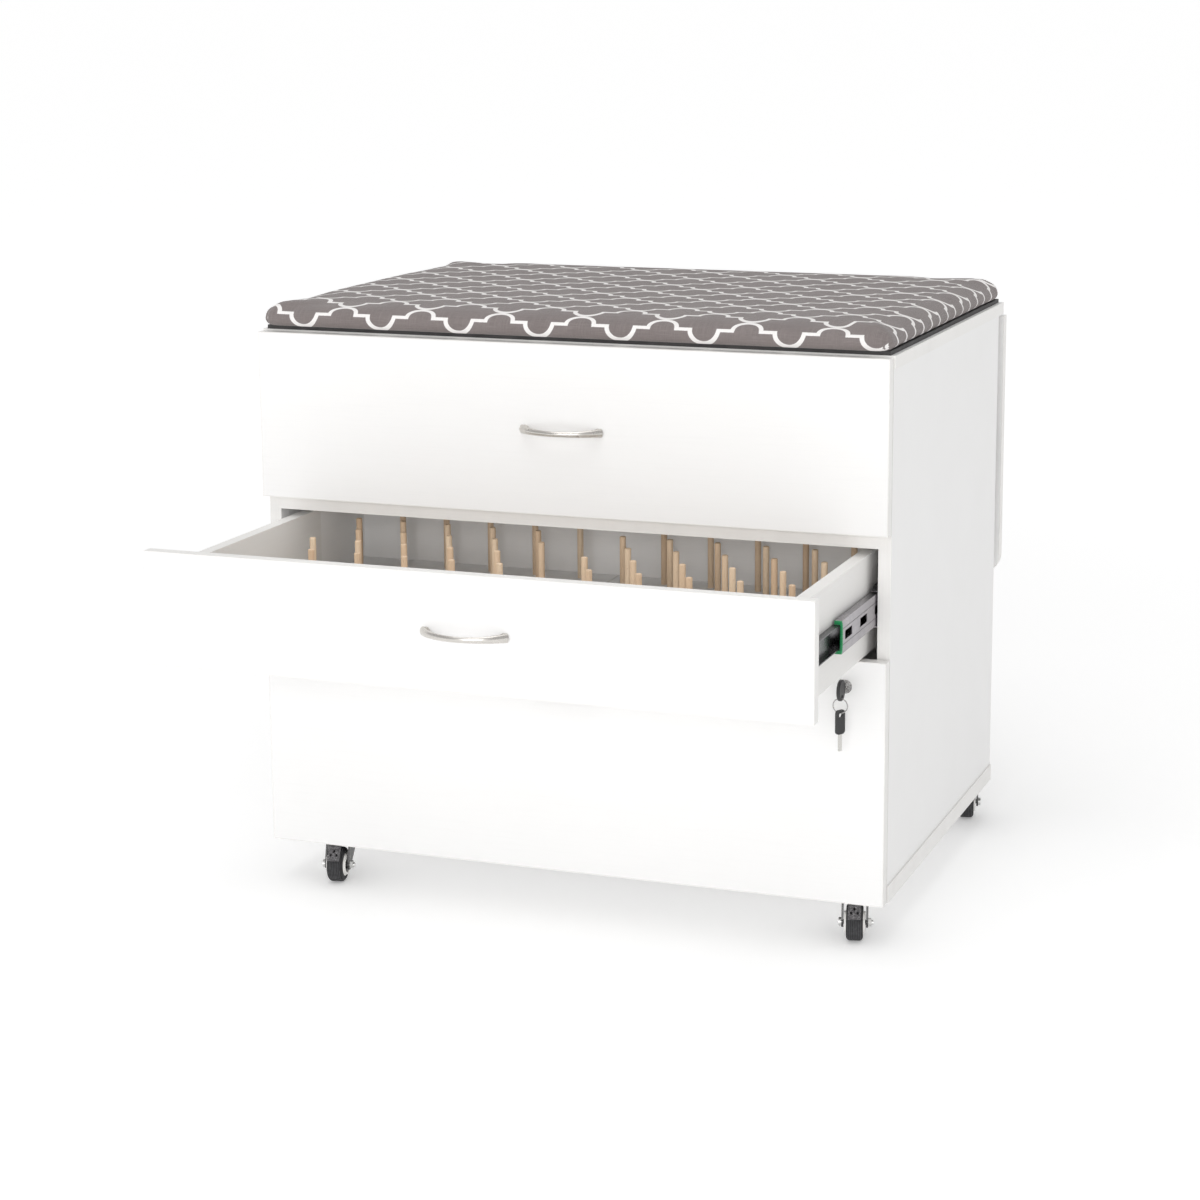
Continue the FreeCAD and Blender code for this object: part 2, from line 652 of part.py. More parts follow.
def stay_planes():
    """Distances from the middle of the cabinet, going inwards, of the stay's layers."""
    ear = INSIDE_HALF + 1.0
    lower = ear - LUG_SHEET - STAY_GAP
    upper = lower - STAY_SHEET - STAY_GAP
    leaf_ear = upper - STAY_SHEET - STAY_GAP
    return ear, lower, upper, leaf_ear


def cabinet_lug(side):
    """Angle lug on the back edge of a side panel, with the lower pivot stud."""
    ear, lower, _, _ = stay_planes()
    y, z = stay_pivot()
    half = LUG_HEIGHT / 2
    foot_y = CARCASS_BACK_Y
    foot = block(side * ear, side * (ear + LUG_FOOT), foot_y, foot_y + LUG_SHEET, z - half, z + half)
    flange = block(side * ear, side * (ear - LUG_SHEET), foot_y, y + 6.0, z - half, z + half)
    stud = rod(STAY_PIN, Vec(side * ear, y, z), Vec(side * (lower - STAY_SHEET - 0.3), y, z))
    return foot.fuse([flange, stud]).removeSplitter()


def leaf_lug(side):
    """Angle lug on the inner face of the leaf, with the upper pivot stud."""
    _, _, upper, leaf_ear = stay_planes()
    y, z = stay_pivot()
    half = LUG_HEIGHT / 2
    face_y = HINGE_Y + HINGE_DROP
    inner = leaf_ear - LUG_SHEET
    foot = block(side * leaf_ear, side * (leaf_ear - LUG_FOOT), face_y - LUG_SHEET, face_y, z - half, z + half)
    flange = block(side * leaf_ear, side * inner, y - 6.0, face_y, z - half, z + half)
    stud = rod(STAY_PIN, Vec(side * inner, y, z), Vec(side * (upper + 0.3), y, z))
    return foot.fuse([flange, stud]).removeSplitter()


def stay_arm(side, plane, bored, riveted):
    """Flat bar hanging from its pivot, with a rounded end at each hole."""
    y, z = stay_pivot()
    x0 = side * plane
    x1 = side * (plane - STAY_SHEET)
    half = STAY_WIDTH / 2
    low_z = z - STAY_LENGTH
    bar = block(x0, x1, y - half, y + half, low_z, z)
    ends = [rod(half, Vec(x0, y, level), Vec(x1, y, level)) for level in (z, low_z)]
    bar = bar.fuse(ends).removeSplitter()
    outside = Vec(side * (plane + 1), y, z)
    inside = Vec(side * (plane - STAY_SHEET - 1), y, z)
    bar = bar.cut(rod(STAY_PIN + STAY_PLAY, outside, inside))
    drop = Vec(0, 0, -STAY_LENGTH)
    if bored:
        bar = bar.cut(rod(STAY_PIN + STAY_PLAY, outside + drop, inside + drop))
    if riveted:
        head_start = Vec(x0, y, low_z)
        head_end = Vec(side * (plane + 1.2), y, low_z)
        bar = bar.fuse(rod(STAY_PIN + 1.5, head_start, head_end)).removeSplitter()
    return bar


# ------------------------------------------------------------------ top pad
def pad_board():
    half = FRONT_WIDTH / 2 + BOARD_OVERHANG - PAD_BOARD_INSET
    y0 = CARCASS_FRONT_Y + 1
    y1 = TOP_BACK_Y - PAD_BOARD_INSET
    return block(-half, half, y0, y1, CARCASS_HEIGHT, CARCASS_HEIGHT + PAD_BOARD)


def pad():
    """Foam pad in its cover, as a plain rounded slab."""
    half = FRONT_WIDTH / 2 + BOARD_OVERHANG - PAD_INSET
    y0 = PAD_INSET
    y1 = TOP_BACK_Y - PAD_INSET
    low = CARCASS_HEIGHT + PAD_BOARD
    slab = block(-half, half, y0, y1, low, low + PAD_HEIGHT)
    uprights = [edge for edge in slab.Edges if edge.BoundBox.ZLength > PAD_HEIGHT - 0.1]
    slab = slab.makeFillet(PAD_CORNER, uprights)
    rims = [edge for edge in slab.Edges if edge.BoundBox.ZLength < 0.1]
    return slab.makeFillet(PAD_EDGE, rims)


# ------------------------------------------------------------------ casters
def caster_place(corner):
    """Kingpin centre of one caster."""
    in_x, in_y = CASTER_PLACES[corner]
    x = FRONT_WIDTH / 2 - in_x
    y = CARCASS_FRONT_Y + in_y if "front" in corner else CARCASS_BACK_Y - in_y
    return Vec(-x if "left" in corner else x, y, 0)


def fork_inside():
    """Half the clear width between the cheeks."""
    return WHEEL_WIDTH / 2 + HUB_PROUD + FORK_GAP


def set_caster(shape, corner):
    """Turn a caster piece about its kingpin and set it under its corner."""
    shape.rotate(Vec(0, 0, 0), Vec(0, 0, 1), CASTER_TURNS[corner])
    shape.translate(caster_place(corner))
    return shape


def axle_centre():
    return Vec(0, -CASTER_TRAIL, WHEEL_RADIUS - CASTER_HEIGHT)


def crown_top():
    return -PLATE_SHEET - RACE_HEIGHT - BEARING_GAP


def caster_plate(corner):
    """Top plate with the upper race and the headed kingpin."""
    plate = block(-PLATE_WIDTH / 2, PLATE_WIDTH / 2, -PLATE_LENGTH / 2, PLATE_LENGTH / 2, -PLATE_SHEET, 0)
    race_low = -PLATE_SHEET - RACE_HEIGHT
    race = rod(RACE_RADIUS, Vec(0, 0, race_low), Vec(0, 0, -PLATE_SHEET))
    head_top = crown_top() - CROWN_SHEET - BEARING_GAP
    pin = rod(KINGPIN, Vec(0, 0, head_top), Vec(0, 0, race_low))
    head = rod(KINGPIN * 2, Vec(0, 0, head_top - 2), Vec(0, 0, head_top))
    whole = plate.fuse([race, pin, head]).removeSplitter()
    whole.translate(caster_place(corner))
    return whole


def fork_arm(side):
    """One cheek of the fork, from the crown down to the axle."""
    axle = axle_centre()
    x0 = side * fork_inside()
    x1 = side * (fork_inside() + FORK_SHEET)
    top = -PLATE_SHEET - 1.0
    shoulder = crown_top()
    outline = [
        Vec(x0, 11, shoulder),
        Vec(x0, -RACE_RADIUS - 1, shoulder),
        Vec(x0, -RACE_RADIUS - 1, top),
        Vec(x0, -RACE_RADIUS - 7, top),
        Vec(x0, axle.y - AXLE_BOSS, axle.z),
        Vec(x0, axle.y + AXLE_BOSS, axle.z),
        Vec(x0, 11, crown_top() - CROWN_SHEET - 2),
        Vec(x0, 11, shoulder),
    ]
    cheek = Part.Face(Part.makePolygon(outline)).extrude(Vec(x1 - x0, 0, 0))
    boss = rod(AXLE_BOSS, Vec(x0, axle.y, axle.z), Vec(x1, axle.y, axle.z))
    cheek = cheek.fuse(boss)
    hole_start = Vec(x0 - side, axle.y, axle.z)
    hole_end = Vec(x1 + side, axle.y, axle.z)
    return cheek.cut(rod(AXLE_RADIUS + RUNNING_PLAY, hole_start, hole_end))


def pedal_pivot():
    return -RACE_RADIUS - 4.0, -PLATE_SHEET - 4.2


def caster_fork(corner, braked):
    """Crown and two cheeks, plus the axle bolt and nut as a solid of its own."""
    half = fork_inside() + FORK_SHEET
    crown = block(-half, half, -RACE_RADIUS, 11, crown_top() - CROWN_SHEET, crown_top())
    fork = crown.fuse([fork_arm(-1), fork_arm(1)]).removeSplitter()
    kingpin_hole = rod(KINGPIN + RUNNING_PLAY, Vec(0, 0, -30), Vec(0, 0, 0))
    fork = fork.cut(kingpin_hole)
    if braked:
        y, z = pedal_pivot()
        fork = fork.fuse(rod(PEDAL_PIN, Vec(-half, y, z), Vec(half, y, z))).removeSplitter()
    return [set_caster(fork, corner), set_caster(axle_bolt(), corner)]


def axle_bolt():
    axle = axle_centre()
    half = fork_inside() + FORK_SHEET
    head_end = -half - BOLT_HEAD
    nut_end = half + NUT_HEIGHT
    shank = rod(AXLE_RADIUS, Vec(head_end, axle.y, axle.z), Vec(nut_end + THREAD_END, axle.y, axle.z))
    head = rod(BOLT_HEAD_RADIUS, Vec(head_end, axle.y, axle.z), Vec(-half, axle.y, axle.z))
    corners = []
    for number in range(7):
        angle = math.radians(60 * number)
        y = axle.y + BOLT_HEAD_RADIUS * math.cos(angle)
        z = axle.z + BOLT_HEAD_RADIUS * math.sin(angle)
        corners.append(Vec(half, y, z))
    nut = Part.Face(Part.makePolygon(corners)).extrude(Vec(NUT_HEIGHT, 0, 0))
    return shank.fuse([head, nut]).removeSplitter()


def caster_tyre(corner):
    """Solid tread with eased shoulders."""
    axle = axle_centre()
    half = WHEEL_WIDTH / 2
    start = Vec(-half, axle.y, axle.z)
    end = Vec(half, axle.y, axle.z)
    tread = rod(WHEEL_RADIUS, start, end)
    rims = [edge for edge in tread.Edges if edge.Length > WHEEL_RADIUS * 6]
    tread = tread.makeFillet(TYRE_ROUND, rims)
    return set_caster(tread.cut(rod(WHEEL_RADIUS - TYRE_WALL, start, end)), corner)


def caster_hub(corner):
    """Wheel centre: a dished disc with a bright rim ring at each side."""
    axle = axle_centre()
    half = WHEEL_WIDTH / 2
    outer = WHEEL_RADIUS - TYRE_WALL
    start = Vec(-half, axle.y, axle.z)
    end = Vec(half, axle.y, axle.z)
    hub = rod(outer, start, end)
    dish = HUB_PROUD_RADIUS - 3.0
    outside = Vec(half + HUB_PROUD, axle.y, axle.z)
    boss = rod(AXLE_RADIUS + 3.0, Vec(-outside.x, axle.y, axle.z), outside)
    for side in (-1, 1):
        face = Vec(side * outside.x, axle.y, axle.z)
        floor = Vec(side * (half - 3.0), axle.y, axle.z)
        hub = hub.fuse(rod(HUB_PROUD_RADIUS, Vec(side * half, axle.y, axle.z), face))
        hub = hub.cut(rod(dish, floor, face))
    hub = hub.fuse(boss).removeSplitter()
    reach = Vec(HUB_PROUD + 1, 0, 0)
    return set_caster(hub.cut(rod(AXLE_RADIUS + RUNNING_PLAY, start - reach, end + reach)), corner)


def brake_pedal(corner):
    """Pressed brake tab that bends down in front of the tread."""
    y, z = pedal_pivot()
    half = PEDAL_WIDTH / 2
    top = z + PEDAL_BARREL - 0.4
    under = top - PEDAL_SHEET
    bend_y = y - PEDAL_REACH
    end_y = bend_y - PEDAL_SLOPE_OUT
    end_z = under - PEDAL_SLOPE_DOWN
    outline = [
        Vec(-half, y, top),
        Vec(-half, bend_y, top),
        Vec(-half, end_y - PEDAL_SHEET, end_z),
        Vec(-half, end_y, end_z - PEDAL_SHEET),
        Vec(-half, bend_y + PEDAL_SHEET / 2, under),
        Vec(-half, y, under),
        Vec(-half, y, top),
    ]
    tab = Part.Face(Part.makePolygon(outline)).extrude(Vec(PEDAL_WIDTH, 0, 0))
    barrel = rod(PEDAL_BARREL, Vec(-half, y, z), Vec(half, y, z))
    tab = tab.fuse(barrel).removeSplitter()
    bore = rod(PEDAL_PIN + RUNNING_PLAY, Vec(-half - 1, y, z), Vec(half + 1, y, z))
    hole_z = under - PEDAL_SLOPE_DOWN * 0.62
    middle_z = under - PEDAL_SLOPE_DOWN * 0.35
    holes = []
    for x, level in ((-PEDAL_HOLE_SPREAD, hole_z), (0, middle_z), (PEDAL_HOLE_SPREAD, hole_z)):
        holes.append(rod(PEDAL_HOLE, Vec(x, end_y - 5, level), Vec(x, bend_y, level)))
    return set_caster(tab.cut([bore] + holes), corner)


def main():
    os.makedirs("parts", exist_ok=True)
    write("side_panel_left", [side_panel(-1)])
    write("side_panel_right", [side_panel(1)])
    write("top_board", [top_board()])
    write("bottom_board", [bottom_board()])
    write("back_panel", [back_panel()])
    write("front_rail", [front_rail()])

    levels = [
        write_drawer("top_drawer", TOP_FRONT_BOTTOM, TOP_FRONT_HEIGHT, TOP_BOX_BOTTOM, TOP_BOX_HEIGHT, 0.0),
        write_drawer("thread_drawer", THREAD_FRONT_BOTTOM, THREAD_FRONT_HEIGHT,
                     THREAD_BOX_BOTTOM, THREAD_BOX_HEIGHT, THREAD_OPEN),
        write_drawer("deep_drawer", 0.0, DEEP_FRONT_HEIGHT, DEEP_BOX_BOTTOM, DEEP_BOX_HEIGHT, 0.0),
    ]
    write("cabinet_rails", [fixed_member(side, level) for level in levels for side in (-1, 1)])
    write("thread_drawer_rail_clips", [rail_clip(side, levels[1], THREAD_OPEN / 2) for side in (-1, 1)])
    write("peg_boards", [peg_board(-1), peg_board(1)])
    write("thread_pegs", pegs())

    write("lock_barrel", [lock_barrel()])
    write("lock_plug", [lock_plug()])
    write("key", [key()])
    write("key_ring", [key_ring()])
    write("spare_key", [spare_key()])

    write("drop_leaf", [leaf()])
    write("leaf_hinge_bases", hinge_base(-1) + hinge_base(1))
    write("leaf_hinge_flaps", [hinge_flap(-1), hinge_flap(1)])
    _, lower, upper, _ = stay_planes()
    write("stay_cabinet_lugs", [cabinet_lug(-1), cabinet_lug(1)])
    write("stay_leaf_lugs", [leaf_lug(-1), leaf_lug(1)])
    write("stay_lower_arms", [stay_arm(side, lower, False, True) for side in (-1, 1)])
    write("stay_upper_arms", [stay_arm(side, upper, True, False) for side in (-1, 1)])

    write("pad_board", [pad_board()])
    write("pad", [pad()])

    write("caster_plates", [caster_plate(corner) for corner in CASTER_TURNS])
    for corner in CASTER_TURNS:
        braked = corner.startswith("front")
        write("caster_fork_" + corner, caster_fork(corner, braked))
        write("caster_tyre_" + corner, [caster_tyre(corner)])
        write("caster_hub_" + corner, [caster_hub(corner)])
        if braked:
            write("brake_pedal_" + corner, [brake_pedal(corner)])


main()
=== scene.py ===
# %% [markdown]
# # A rolling sewing cabinet
# The cabinet is white board on four casters. It has three drawers, a padded pressing top in a printed
# canvas cover, and a leaf that hangs at the back. The solid parts arrive from the maker's model as a
# fixed frame, so this lesson only does what is left: the finishes, the soft pad and the small fittings.
# Everything is in metres, and every place is worked out from the frame.

import json
import math

import bmesh
import bpy
import numpy as np
from mathutils import Matrix, Vector


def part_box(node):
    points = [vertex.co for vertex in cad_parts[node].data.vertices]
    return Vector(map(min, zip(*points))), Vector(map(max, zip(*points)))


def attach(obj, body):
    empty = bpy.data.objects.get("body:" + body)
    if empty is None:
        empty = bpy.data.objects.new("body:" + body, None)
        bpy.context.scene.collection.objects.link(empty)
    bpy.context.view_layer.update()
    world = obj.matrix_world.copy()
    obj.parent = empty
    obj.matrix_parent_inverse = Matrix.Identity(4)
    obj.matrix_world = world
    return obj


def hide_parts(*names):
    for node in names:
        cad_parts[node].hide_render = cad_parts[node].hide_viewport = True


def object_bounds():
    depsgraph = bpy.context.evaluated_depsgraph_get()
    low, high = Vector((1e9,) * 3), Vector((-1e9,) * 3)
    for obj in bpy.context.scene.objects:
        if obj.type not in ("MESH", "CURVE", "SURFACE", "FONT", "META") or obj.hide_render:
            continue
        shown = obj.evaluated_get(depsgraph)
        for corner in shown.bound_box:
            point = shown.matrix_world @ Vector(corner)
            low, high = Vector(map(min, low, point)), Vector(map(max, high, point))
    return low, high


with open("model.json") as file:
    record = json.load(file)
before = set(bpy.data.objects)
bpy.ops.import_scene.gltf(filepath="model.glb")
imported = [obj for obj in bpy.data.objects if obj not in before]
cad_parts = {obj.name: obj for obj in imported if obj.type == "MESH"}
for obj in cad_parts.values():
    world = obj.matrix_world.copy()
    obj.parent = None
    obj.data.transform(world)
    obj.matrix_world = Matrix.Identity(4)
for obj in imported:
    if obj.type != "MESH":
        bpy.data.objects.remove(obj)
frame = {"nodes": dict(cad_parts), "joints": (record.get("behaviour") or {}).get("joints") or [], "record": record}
cad_low, cad_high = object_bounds()
MM = 0.001
print("box:", [round(side, 3) for side in cad_high - cad_low])

# %% [markdown]
# ## Where the eye stands
# The cabinet is seen from a standing height, a little to the right, through a long lens, so that upright
# edges stay nearly parallel. A long lens from far away keeps a box looking like a box. The shift slides
# the picture on the film without turning the camera, as a view camera does.

# %% Camera
AZIMUTH, ELEVATION, ROLL = 20.03, 10.96, 0.23      # degrees
STAND = Vector((1.222, -3.1865, 1.161))
LENS = 81.02
SHIFT = (-0.0397, -0.0763)


def aim(place, azimuth, elevation, roll):
    """World matrix of a camera at place that looks back along azimuth and elevation."""
    turn, rise = math.radians(azimuth), math.radians(elevation)
    level = math.cos(rise)
    back = Vector((math.sin(turn) * level, -math.cos(turn) * level, math.sin(rise)))
    facing = (-back).to_track_quat("-Z", "Y").to_matrix().to_4x4()
    return Matrix.Translation(place) @ facing @ Matrix.Rotation(math.radians(-roll), 4, "Z")


lens = bpy.data.cameras.new("camera")
lens.lens = LENS
lens.sensor_width = 36.0
lens.shift_x, lens.shift_y = SHIFT
camera = bpy.data.objects.new("camera", lens)
camera.matrix_world = aim(STAND, AZIMUTH, ELEVATION, ROLL)
scene = bpy.context.scene
scene.collection.objects.link(camera)
scene.camera = camera
print("camera stands", round(STAND.length, 2), "m from the middle of the floor under the cabinet")

# %% [markdown]
# ## A white studio
# White furniture on white paper needs soft light from all round, and a little more from the front, so
# that the front and the side of the cabinet part from each other. A wide box overhead reaches into the
# open drawer. The paper glows faintly from below, and a little more further out, as a lit sweep does,
# which keeps the shadow under the cabinet light. The plain tone curve leaves whites white.

# %% Floor and lights
SKY = 0.58
KEY_POWER = 97.0             # watts
FILL_SHARE = 0.30            # of the key
TOP_SHARE = 0.30


def join_scene(thing, place=None):
    """Put a new object into the scene."""
    scene.collection.objects.link(thing)
    if place is not None:
        thing.matrix_world = place
    return thing


def soft_box(name, place, target, wide, tall, power):
    """A soft box that faces its target."""
    light = bpy.data.lights.new(name, "AREA")
    light.shape = "RECTANGLE"
    light.size, light.size_y = wide, tall
    light.energy = power
    facing = (Vector(target) - Vector(place)).to_track_quat("-Z", "Y").to_matrix().to_4x4()
    return join_scene(bpy.data.objects.new(name, light), Matrix.Translation(place) @ facing)


world = bpy.data.worlds.new("studio")
world.use_nodes = True
scene.world = world
world.node_tree.nodes["Background"].inputs["Color"].default_value = (1.0, 1.0, 1.0, 1.0)
world.node_tree.nodes["Background"].inputs["Strength"].default_value = SKY
soft_box("key_light", (0.3, -6.8, 1.9), (0.0, -0.1, 0.35), 3.2, 2.0, KEY_POWER)
soft_box("fill_light", (2.3, -6.0, 1.7), (0.0, 0.0, 0.35), 1.6, 1.6, KEY_POWER * FILL_SHARE)
soft_box("top_light", (0.0, -0.9, 3.2), (0.0, 0.0, 0.4), 2.5, 2.5, KEY_POWER * TOP_SHARE)
print("studio: three soft boxes, key of", KEY_POWER, "W")

# %% [markdown]
# The floor is a very wide disc, so its far edge is out of sight from any side. How much the paper glows
# is worked out from the distance to the middle of the floor, which is a place on the paper and so stays
# the same from wherever it is seen.

# %% Paper floor
GLOW_NEAR, GLOW_FAR = 0.22, 0.44
GLOW_FROM, GLOW_TO = 0.7, 3.5      # metres from the middle
FLOOR_RADIUS = 600.0

paper = bpy.data.materials.new("studio_paper")
paper.use_nodes = True
paper_skin = paper.node_tree.nodes["Principled BSDF"]
paper_skin.inputs["Base Color"].default_value = (0.96, 0.96, 0.96, 1.0)
paper_skin.inputs["Roughness"].default_value = 0.9
paper_skin.inputs["Specular IOR Level"].default_value = 0.1
paper_skin.inputs["Emission Color"].default_value = (1.0, 1.0, 1.0, 1.0)
paper_nodes = paper.node_tree.nodes
paper_place = paper_nodes.new("ShaderNodeTexCoord")
paper_reach = paper_nodes.new("ShaderNodeVectorMath")
paper_reach.operation = "LENGTH"
paper_glow = paper_nodes.new("ShaderNodeMapRange")
glow_range = {"From Min": GLOW_FROM, "From Max": GLOW_TO, "To Min": GLOW_NEAR, "To Max": GLOW_FAR}
for label, value in glow_range.items():
    paper_glow.inputs[label].default_value = value
paper.node_tree.links.new(paper_place.outputs["Object"], paper_reach.inputs[0])
paper.node_tree.links.new(paper_reach.outputs["Value"], paper_glow.inputs["Value"])
paper.node_tree.links.new(paper_glow.outputs[0], paper_skin.inputs["Emission Strength"])

sweep = bmesh.new()
bmesh.ops.create_circle(sweep, cap_ends=True, radius=FLOOR_RADIUS, segments=96)
sweep_mesh = bpy.data.meshes.new("floor")
sweep.to_mesh(sweep_mesh)
sweep.free()
sweep_mesh.materials.append(paper)
floor = join_scene(bpy.data.objects.new("floor", sweep_mesh), Matrix.Translation((0, 0, -0.0002)))
scene.view_settings.view_transform = "Standard"
scene.view_settings.look = "None"
print("floor: a disc of", FLOOR_RADIUS, "m")

# %% [markdown]
# ## A few short tools for finishes
# A finish is a small graph of nodes. These helpers write such graphs in few words: `skin` starts a
# material, `put` adds one node, and the others are the steps that nearly every finish needs. Values that
# are the same all over a surface are set on the shader itself. Only what varies gets a wire.

# %% Finish helpers
def skin(name, **values):
    """A material, its node tree and its shader, with sockets set straight to these values."""
    material = bpy.data.materials.new(name)
    material.use_nodes = True
    tree = material.node_tree
    shader = tree.nodes["Principled BSDF"]
    for label, value in values.items():
        shader.inputs[label.replace("_", " ")].default_value = value
    return material, tree, shader


def put(tree, kind, inputs=(), **settings):
    """Add one node. inputs gives each socket a value, or the socket that feeds it."""
    made = tree.nodes.new("ShaderNode" + kind)
    for label, value in settings.items():
        setattr(made, label, value)
    for label, value in dict(inputs).items():
        if isinstance(value, bpy.types.NodeSocket):
            tree.links.new(value, made.inputs[label])
        else:
            made.inputs[label].default_value = value
    return made


def sums(tree, operation, first, second=0.0):
    """One step of arithmetic on numbers."""
    return put(tree, "Math", {0: first, 1: second}, operation=operation).outputs[0]


def steps(tree, operation, first, second=(0.0, 0.0, 0.0)):
    """One step of arithmetic on places."""
    made = put(tree, "VectorMath", {0: first, 1: second}, operation=operation)
    return made.outputs["Value" if operation in ("LENGTH", "DOT_PRODUCT") else "Vector"]


def tint(tree, amount, first, second):
    """The first colour where amount is 0, the second where it is 1."""
    return put(tree, "Mix", {0: amount, 6: first, 7: second}, data_type="RGBA").outputs[2]


def scale_to(tree, value, low, high, to_low=0.0, to_high=1.0):
    """Stretch a number from one range to another, and hold it there."""
    inputs = {"Value": value, "From Min": low, "From Max": high, "To Min": to_low, "To Max": to_high}
    return put(tree, "MapRange", inputs).outputs[0]


# %% [markdown]
# The second set of helpers deals with surfaces: where a point is, soft noise at a given size, relief,
# and how a finished material gets onto a piece. Noise is given in spots per metre, so it keeps its real
# size on a board and on a screw alike.

# %% Surface helpers
def own_place(tree):
    """Where a point is on the piece, in metres."""
    return put(tree, "TexCoord").outputs["Object"]


def cloud(tree, place, scale, detail=2.0, roughness=0.5):
    """Soft noise. scale is one number, or one for each direction, in spots per metre."""
    if not isinstance(scale, (int, float)):
        place = put(tree, "Mapping", {"Vector": place, "Scale": scale}).outputs[0]
        scale = 1.0
    inputs = {"Vector": place, "Scale": scale, "Detail": detail, "Roughness": roughness}
    return put(tree, "TexNoise", inputs).outputs["Fac"]


def emboss(tree, shader, height, depth, strength=1.0):
    """Raise the surface by height times depth, in metres."""
    made = put(tree, "Bump", {"Height": height, "Distance": depth, "Strength": strength})
    tree.links.new(made.outputs[0], shader.inputs["Normal"])


def wire(tree, shader, **sockets):
    """Feed the shader's sockets."""
    for label, socket in sockets.items():
        tree.links.new(socket, shader.inputs[label.replace("_", " ")])


def dress(node, material):
    """Give a node of the frame its finish."""
    slots = frame["nodes"][node].material_slots
    for number in range(len(slots)):
        slots[number].material = material


def record_slot(node):
    """The material slot that the record gives a node."""
    for part in frame["record"]["subparts"]:
        if part["node"] == node:
            return part["material_slot"]


DRAWERS = ("top_drawer", "thread_drawer", "deep_drawer")
by_slot = {}
for node in sorted(frame["nodes"]):
    by_slot.setdefault(record_slot(node), []).append(node)
for label, members in by_slot.items():
    print(label, len(members))

# %% [markdown]
# ## White board with edge bands
# The boards are chipboard faced with white melamine. The press plate leaves a faint grain in the face,
# and a thin strip is ironed onto each edge, with a fine glue line where strip and face meet. The strip
# is found by measuring how far a point is from the board's outline: on the narrow faces and within the
# strip's thickness that distance is almost nothing. So one distance draws the strip and its glue line,
# and the board needs no extra geometry.

# %% Distance from a board's outline
BAND = 0.9 * MM
GLUE_LINE = 0.22 * MM
AXES = "XYZ"


def outline_distance(tree, place, low, high, thin, corner):
    """How far inside a board's outline a point is, in the plane of the board."""
    flat = [0.0 if axis == thin else 1.0 for axis in AXES]
    middle = (low + high) / 2
    reach = [((high - low)[number] / 2 - corner) * flat[number] for number in range(3)]
    offset = steps(tree, "ABSOLUTE", steps(tree, "SUBTRACT", place, middle))
    beyond = steps(tree, "SUBTRACT", steps(tree, "MULTIPLY", offset, flat), reach)
    outside = steps(tree, "LENGTH", steps(tree, "MAXIMUM", beyond))
    parts = put(tree, "SeparateXYZ", {0: beyond}).outputs
    first, second = [parts[axis] for axis in AXES if axis != thin]
    inside = sums(tree, "MINIMUM", sums(tree, "MAXIMUM", first, second), 0.0)
    return sums(tree, "SUBTRACT", corner, sums(tree, "ADD", outside, inside))


# %% [markdown]
# Board white isn't one colour. The face has a haze where the resin set unevenly, faint fibres along the
# grain, and a little scuffing near the edges, where hands and cloths pass. The strip is a touch warmer
# than the face, because it is another plastic. All of it is kept very weak, as on new furniture.

# %% Board finish
def board_finish(name, low, high, thin, grain, corner=0.0, mirrored=False, painted_whitening=0.0):
    """White melamine with edge bands for one board, or for a mirrored pair. The last argument paints the face
    whiter, as painted light.
    """
    material, tree, shader = skin("white_board_" + name)
    shader.inputs["Specular IOR Level"].default_value = 0.42
    place = own_place(tree)
    if mirrored:
        place = steps(tree, "ABSOLUTE", place)
    gap = outline_distance(tree, place, low, high, thin, corner)
    along = [9.0 if axis == grain else 520.0 for axis in AXES]
    fibres = cloud(tree, place, along, detail=5.0, roughness=0.62)
    pores = cloud(tree, place, 1500.0, detail=1.0)
    haze = cloud(tree, place, 5.0, detail=3.0)
    handled = cloud(tree, place, 17.0, detail=4.0, roughness=0.6)
    face = tint(tree, haze, (0.885, 0.880, 0.874, 1), (0.905, 0.901, 0.896, 1))
    # painted light: the last argument mixes the face towards a whiter one, for boards inside the drawer
    face = tint(tree, painted_whitening, face, (0.96, 0.957, 0.952, 1))
    face = tint(tree, scale_to(tree, fibres, 0.52, 0.78, 0.0, 0.16), face, (0.77, 0.765, 0.755, 1))
    warm = scale_to(tree, fibres, 0.4, 0.7)
    strip = tint(tree, warm, (0.868, 0.856, 0.836, 1), (0.886, 0.876, 0.858, 1))
    on_strip = sums(tree, "LESS_THAN", gap, BAND)
    off_line = sums(tree, "ABSOLUTE", sums(tree, "SUBTRACT", gap, BAND))
    glue = scale_to(tree, off_line, 0.0, GLUE_LINE, 0.38, 0.0)
    near_edge = sums(tree, "SUBTRACT", handled, sums(tree, "MULTIPLY", gap, 90.0))
    scuff = scale_to(tree, near_edge, 0.5, 0.75, 0.0, 0.22)
    colour = tint(tree, on_strip, face, strip)
    colour = tint(tree, scuff, colour, (0.74, 0.725, 0.70, 1))
    colour = tint(tree, glue, colour, (0.46, 0.44, 0.41, 1))
    wire(tree, shader, Base_Color=colour, Roughness=scale_to(tree, handled, 0.25, 0.75, 0.36, 0.50))
    relief = sums(tree, "ADD", sums(tree, "MULTIPLY", fibres, 0.8), sums(tree, "MULTIPLY", pores, 0.35))
    relief = sums(tree, "SUBTRACT", relief, glue)
    emboss(tree, shader, relief, 0.06 * MM, 0.55)
    return material


# %% [markdown]
# Each board is listed with its thin direction and its grain, which runs along the length that the saw
# would choose. A mirrored pair is one node, so its finish works on one half and folds the other onto it.
# The leaf's upper edge is square and its lower corners are round, so its outline is carried on upwards.

